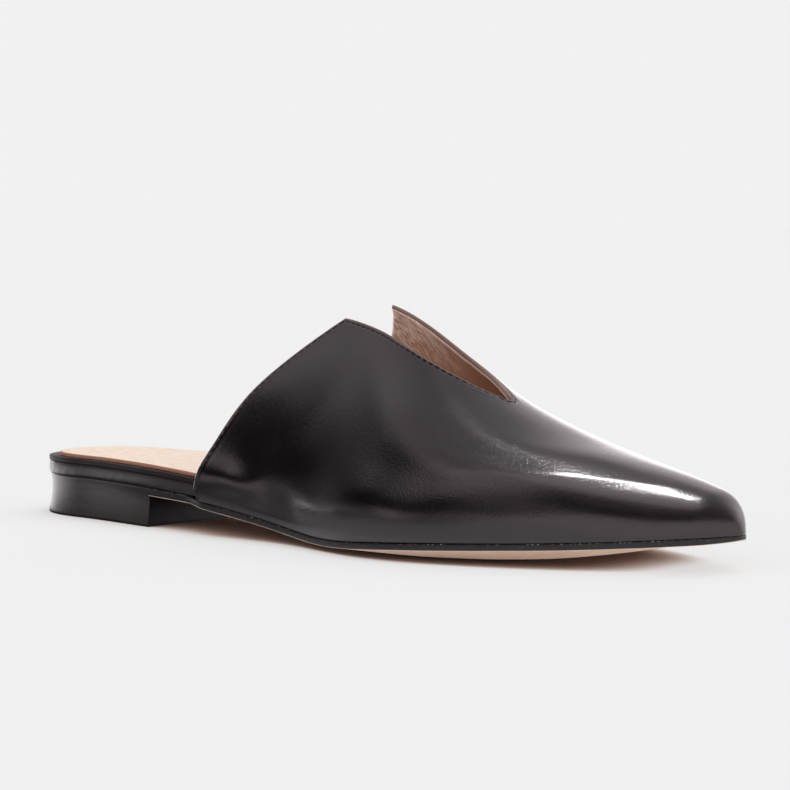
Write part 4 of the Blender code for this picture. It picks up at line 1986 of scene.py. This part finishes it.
@dataclass(frozen=True)
class Lamp:
    """A small soft box over the medial side, which only shows as the sheen on the toe's shoulder.

    Attributes:
        middle: of the lamp.
        aim: the spot that it faces.
        size: of its sides.
        spread: angle of its beam in degrees.
        radiance: how bright its face is along the beam.
    """

    middle: Triple = (0.112, 0.149, 0.50)
    aim: Triple = (0.225, -0.008, 0.018)
    size: float = 0.060
    spread: float = 14.5
    radiance: float = 185.0

    def build(self) -> None:
        """Lamp turned to its spot."""
        lamp = bpy.data.lights.new("toe_lamp", "AREA")
        lamp.size, lamp.spread = self.size, math.radians(self.spread)
        half = math.radians(self.spread) / 2
        lamp.energy = self.radiance * math.pi * self.size ** 2 * (1 - half / math.tan(half))
        holder = bpy.data.objects.new("toe_lamp", lamp)
        way = Vector(self.aim) - Vector(self.middle)
        holder.matrix_world = (Matrix.Translation(self.middle)
                               @ way.to_track_quat("-Z", "Y").to_matrix().to_4x4())
        holder.visible_diffuse = False
        bpy.context.scene.collection.objects.link(holder)


@dataclass(frozen=True)
class Camera:
    """Camera low on the lateral front side, level but for a slight roll.

    Attributes:
        azimuth: of the camera from its target, in degrees, 0 towards -Y and 90 towards +X.
        elevation: of the camera from its target, in degrees.
        roll: turn about the line of sight, in degrees.
        distance: from the target.
        lens: focal length in millimetres on a 36 mm wide sensor.
        target: the spot in the middle of the view.
    """

    azimuth: float = 39.006
    elevation: float = 3.704
    roll: float = 0.326
    distance: float = 0.84979
    lens: float = 126.35089
    target: Triple = (0.10963, 0.0, 0.04425)

    def build(self) -> None:
        """Camera turned to its target, and made the scene's own."""
        azimuth, elevation, roll = map(math.radians, (self.azimuth, self.elevation, self.roll))
        back = Vector((math.sin(azimuth) * math.cos(elevation),
                       -math.cos(azimuth) * math.cos(elevation), math.sin(elevation)))
        level = (-back).cross(Vector((0, 0, 1))).normalized()
        upward = level.cross(-back)
        right = math.cos(roll) * level + math.sin(roll) * upward
        upward = -math.sin(roll) * level + math.cos(roll) * upward
        turn = Matrix((right, upward, back)).transposed().to_4x4()
        data = bpy.data.cameras.new("camera")
        data.sensor_width, data.lens = 36.0, self.lens
        data.clip_start, data.clip_end = 0.01, 200.0
        camera = bpy.data.objects.new("camera", data)
        camera.matrix_world = Matrix.Translation(Vector(self.target) + back * self.distance) @ turn
        bpy.context.scene.collection.objects.link(camera)
        bpy.context.scene.camera = camera


@dataclass(frozen=True)
class Studio:
    """Pale floor and surroundings, the lamp and the camera.

    Attributes:
        pale: how bright the backdrop and the clear floor are seen.
        daylight: light that falls on the floor.
        sky: share of the daylight that the soft sky gives.
        back_lamp: brightness of the broad lamp over the medial side, times the daylight.
        plain: what the leather mirrors where there is no panel.
        darkest: the least that it mirrors.
        warmth: tint of all that it mirrors.
        lit_share: share of the floor's brightness that shows without a cast shadow.
        floor_size: half a side of the floor.
        shade_warmth: powers of the shade under the shoe for red, green and blue.
        panels: what the glossy leather mirrors.
    """

    pale: float = 0.878
    daylight: float = 1.12
    sky: float = 0.633
    back_lamp: float = 2.05
    plain: float = 0.56
    darkest: float = 0.02
    warmth: Triple = (1.03, 0.955, 0.98)
    lit_share: float = 0.70
    floor_size: float = 30.0
    shade_warmth: Triple = (1.05, 1.40, 1.55)
    panels: Tuple[Panel, ...] = (
        Panel(58, 72, 8, 34, 0.95, 0.55),        # bright wall low down before the toe
        Panel(-75, 40, 22, 22, -0.42, 0.4),      # dark behind the heel
        Panel(65, 80, 62, 28, -0.24, 0.6),       # dark room above
        Panel(-52, 28, 34, 18, -0.52, 0.45),     # dark over the back of the lateral side
        Panel(-8, 36, 27, 15, -0.52),            # dark beside the waist
        Panel(18, 30, 48, 18, -0.22),            # dark above the camera
        Panel(-25, 43, 60, 25, 0.95),            # ceiling over the lateral side
        Panel(150, 42, 18, 38, 1.90),            # window past the medial side
        Panel(0, 180, 90, 19, 1.50, 0.3),        # ceiling
        Panel(-95, 45, 52, 22, 0.24),            # wall high up behind
        Panel(180, 50, 15, 30, 0.76, 0.4),       # wall past the medial side
        Panel(-122, 37, 5, 14, 3.60, 0.45),      # window low down behind the heel
        Panel(-31, 15, 8, 14, 0.55, 0.3),        # pale card beside the vamp's back edge
    )

    def light(self, shader: Shader) -> Wire:
        """What the glossy leather mirrors from each direction.

        Args:
            shader: takes the nodes.

        Returns:
            The light.
        """
        direction = shader.direction()
        ahead, across, up = (shader.axis(name, direction) for name in "XYZ")
        elevation = shader.math("ARCSINE", up)
        azimuth = shader.math("ARCTAN2", ahead, across * -1.0)
        light: Term = self.plain
        for panel in self.panels:
            light = panel.patch(shader, azimuth, elevation) + light
        return shader.math("MAXIMUM", light, self.darkest)

    def soft_light(self, shader: Shader) -> Wire:
        """Light on matt surfaces: a sky leaning to the lateral front, and a broad back lamp.

        Args:
            shader: takes the nodes.

        Returns:
            The light from each direction.
        """
        direction = shader.direction()
        ahead, across, up = (shader.axis(name, direction) for name in "XYZ")
        lean = 1 + 0.45 * ahead - 0.85 * across
        height = 0.35 + 0.65 * shader.rise(up, 0.0, 0.5)
        lamp = shader.rise(0.64 * across + 0.768 * up, 0.76, 0.98)
        return (lean * height * (self.sky * self.daylight)
                + lamp * (self.back_lamp * self.daylight))

    def surround(self) -> None:
        """Soft light, a pale backdrop for the camera, and panels for the leather to mirror."""
        world = bpy.data.worlds.new("surroundings")
        bpy.context.scene.world = world
        shader = Shader(world)
        seen, mirrored = shader.ray("Camera"), shader.ray("Glossy")
        level = seen * self.pale + (1 - seen) * (1 - mirrored) * self.soft_light(shader)
        shine = mirrored * self.light(shader)
        colour = shader.combined([level + shine * tint for tint in self.warmth])
        background = shader.node("ShaderNodeBackground", {}, {"Color": colour})
        shader.node("ShaderNodeOutputWorld", {}, {"Surface": background})

    def glow(self, shader: Shader) -> Wire:
        """What the leather mirrors of the floor: brighter ahead and behind, dark underneath.

        Args:
            shader: takes the nodes.

        Returns:
            The light from each spot, with limits in metres along and across the floor.
        """
        along, across = shader.axis("X"), shader.axis("Y")
        ahead = 0.05 + 1.32 * shader.rise(along, -0.16, 0.28)
        near = shader.rise(across, -0.15, -0.11) * shader.fall(along, 0.0, 0.05)
        behind = (shader.rise(across - 0.9 * along, -0.08, 0.06)
                  * shader.fall(along, -0.09, -0.02) * shader.rise(across, -0.135, -0.075))
        beside = shader.fall(along, -0.08, 0.05) * shader.fall(across, -0.20, -0.14)
        under = (shader.rise(across, -0.042, -0.022) * shader.rise(along, -0.02, 0.02)
                 * shader.fall(across, 0.14, 0.22) * shader.fall(along, 0.13, 0.20))
        return (ahead * (1 - 0.65 * near) + 3.3 * behind + 0.35 * beside) * (1 - 0.95 * under)

    def paper(self) -> bpy.types.Material:
        """Floor paper: pale, with a short warm shade under the shoe, shortest at the toe.

        Returns:
            The material.
        """
        material = bpy.data.materials.new("floor_paper")
        shader = Shader(material)
        seen, mirrored = shader.ray("Camera"), shader.ray("Glossy")
        reach = 0.0075 + 0.022 * shader.fall(shader.axis("X"), 0.07, 0.17)
        open_sky = shader.node("ShaderNodeAmbientOcclusion", {"samples": 16},
                               {"Distance": reach}, "AO")
        clear = shader.rise(open_sky, 0.0, 0.72)
        glow = mirrored * self.glow(shader)
        lit = shader.combined([glow + seen * (self.lit_share * self.pale) * clear ** power
                               for power in self.shade_warmth])
        matt = (1 - mirrored) * (1 - self.lit_share * seen) * (self.pale / self.daylight)
        shader.principled(Base_Color=shader.combined([matt] * 3), Roughness=1.0,
                          Specular_IOR_Level=0.0, Emission_Color=lit, Emission_Strength=1.0)
        return material

    def floor(self) -> None:
        """Plain floor in its paper."""
        bm = bmesh.new()
        bmesh.ops.create_grid(bm, x_segments=8, y_segments=8, size=self.floor_size)
        mesh = bpy.data.meshes.new("floor")
        bm.to_mesh(mesh)
        bm.free()
        mesh.materials.append(self.paper())
        floor = bpy.data.objects.new("floor", mesh)
        bpy.context.scene.collection.objects.link(floor)
        floor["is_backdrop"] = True

    def build(self) -> None:
        """Everything round the shoe."""
        bpy.context.scene.view_settings.view_transform = "Standard"
        self.surround()
        self.floor()
        Lamp().build()
        Camera().build()


def main() -> None:
    """Builds the studio and then the shoe, piece by piece, and reports each piece."""
    logging.basicConfig(level=logging.INFO, format="%(name)s: %(message)s")
    low, high = CAD_BOX
    upper_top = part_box("upper")[1].z
    heel_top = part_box("heel_block")[1].z
    last = Last(length=high.x - low.x, ball_width=(high.y - low.y) / WIDTH_PER_BALL,
                heel_height=heel_top / TOP_PER_HEEL, instep_height=upper_top / TOP_PER_INSTEP,
                heel_centre=-low.x)
    Studio().build()
    vamp = Vamp(last)
    pieces = (
        vamp.build_leather(SmoothLeather("black_calf")),
        vamp.build_lining(LiningLeather("tan_lining")),
        vamp.build_stitches(Thread("black_thread")),
        MidsoleCover(last).build(CoverLeather("wrapped_leather")),
        Board(last).build(DyedBoard("dyed_board")),
        Sock(last).build(Suede("peach_suede")),
        TreadLeather(last).build(SoleLeather("tan_sole")),
        EdgeBand(last).build(EdgeInk("edge_ink")),
        Heel(last).build(HeelLacquer("heel_lacquer")))
    for piece in pieces:
        log.info("%s: %d faces before its modifiers", piece.name, len(piece.data.polygons))
    low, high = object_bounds()


if __name__ == "__main__":
    main()
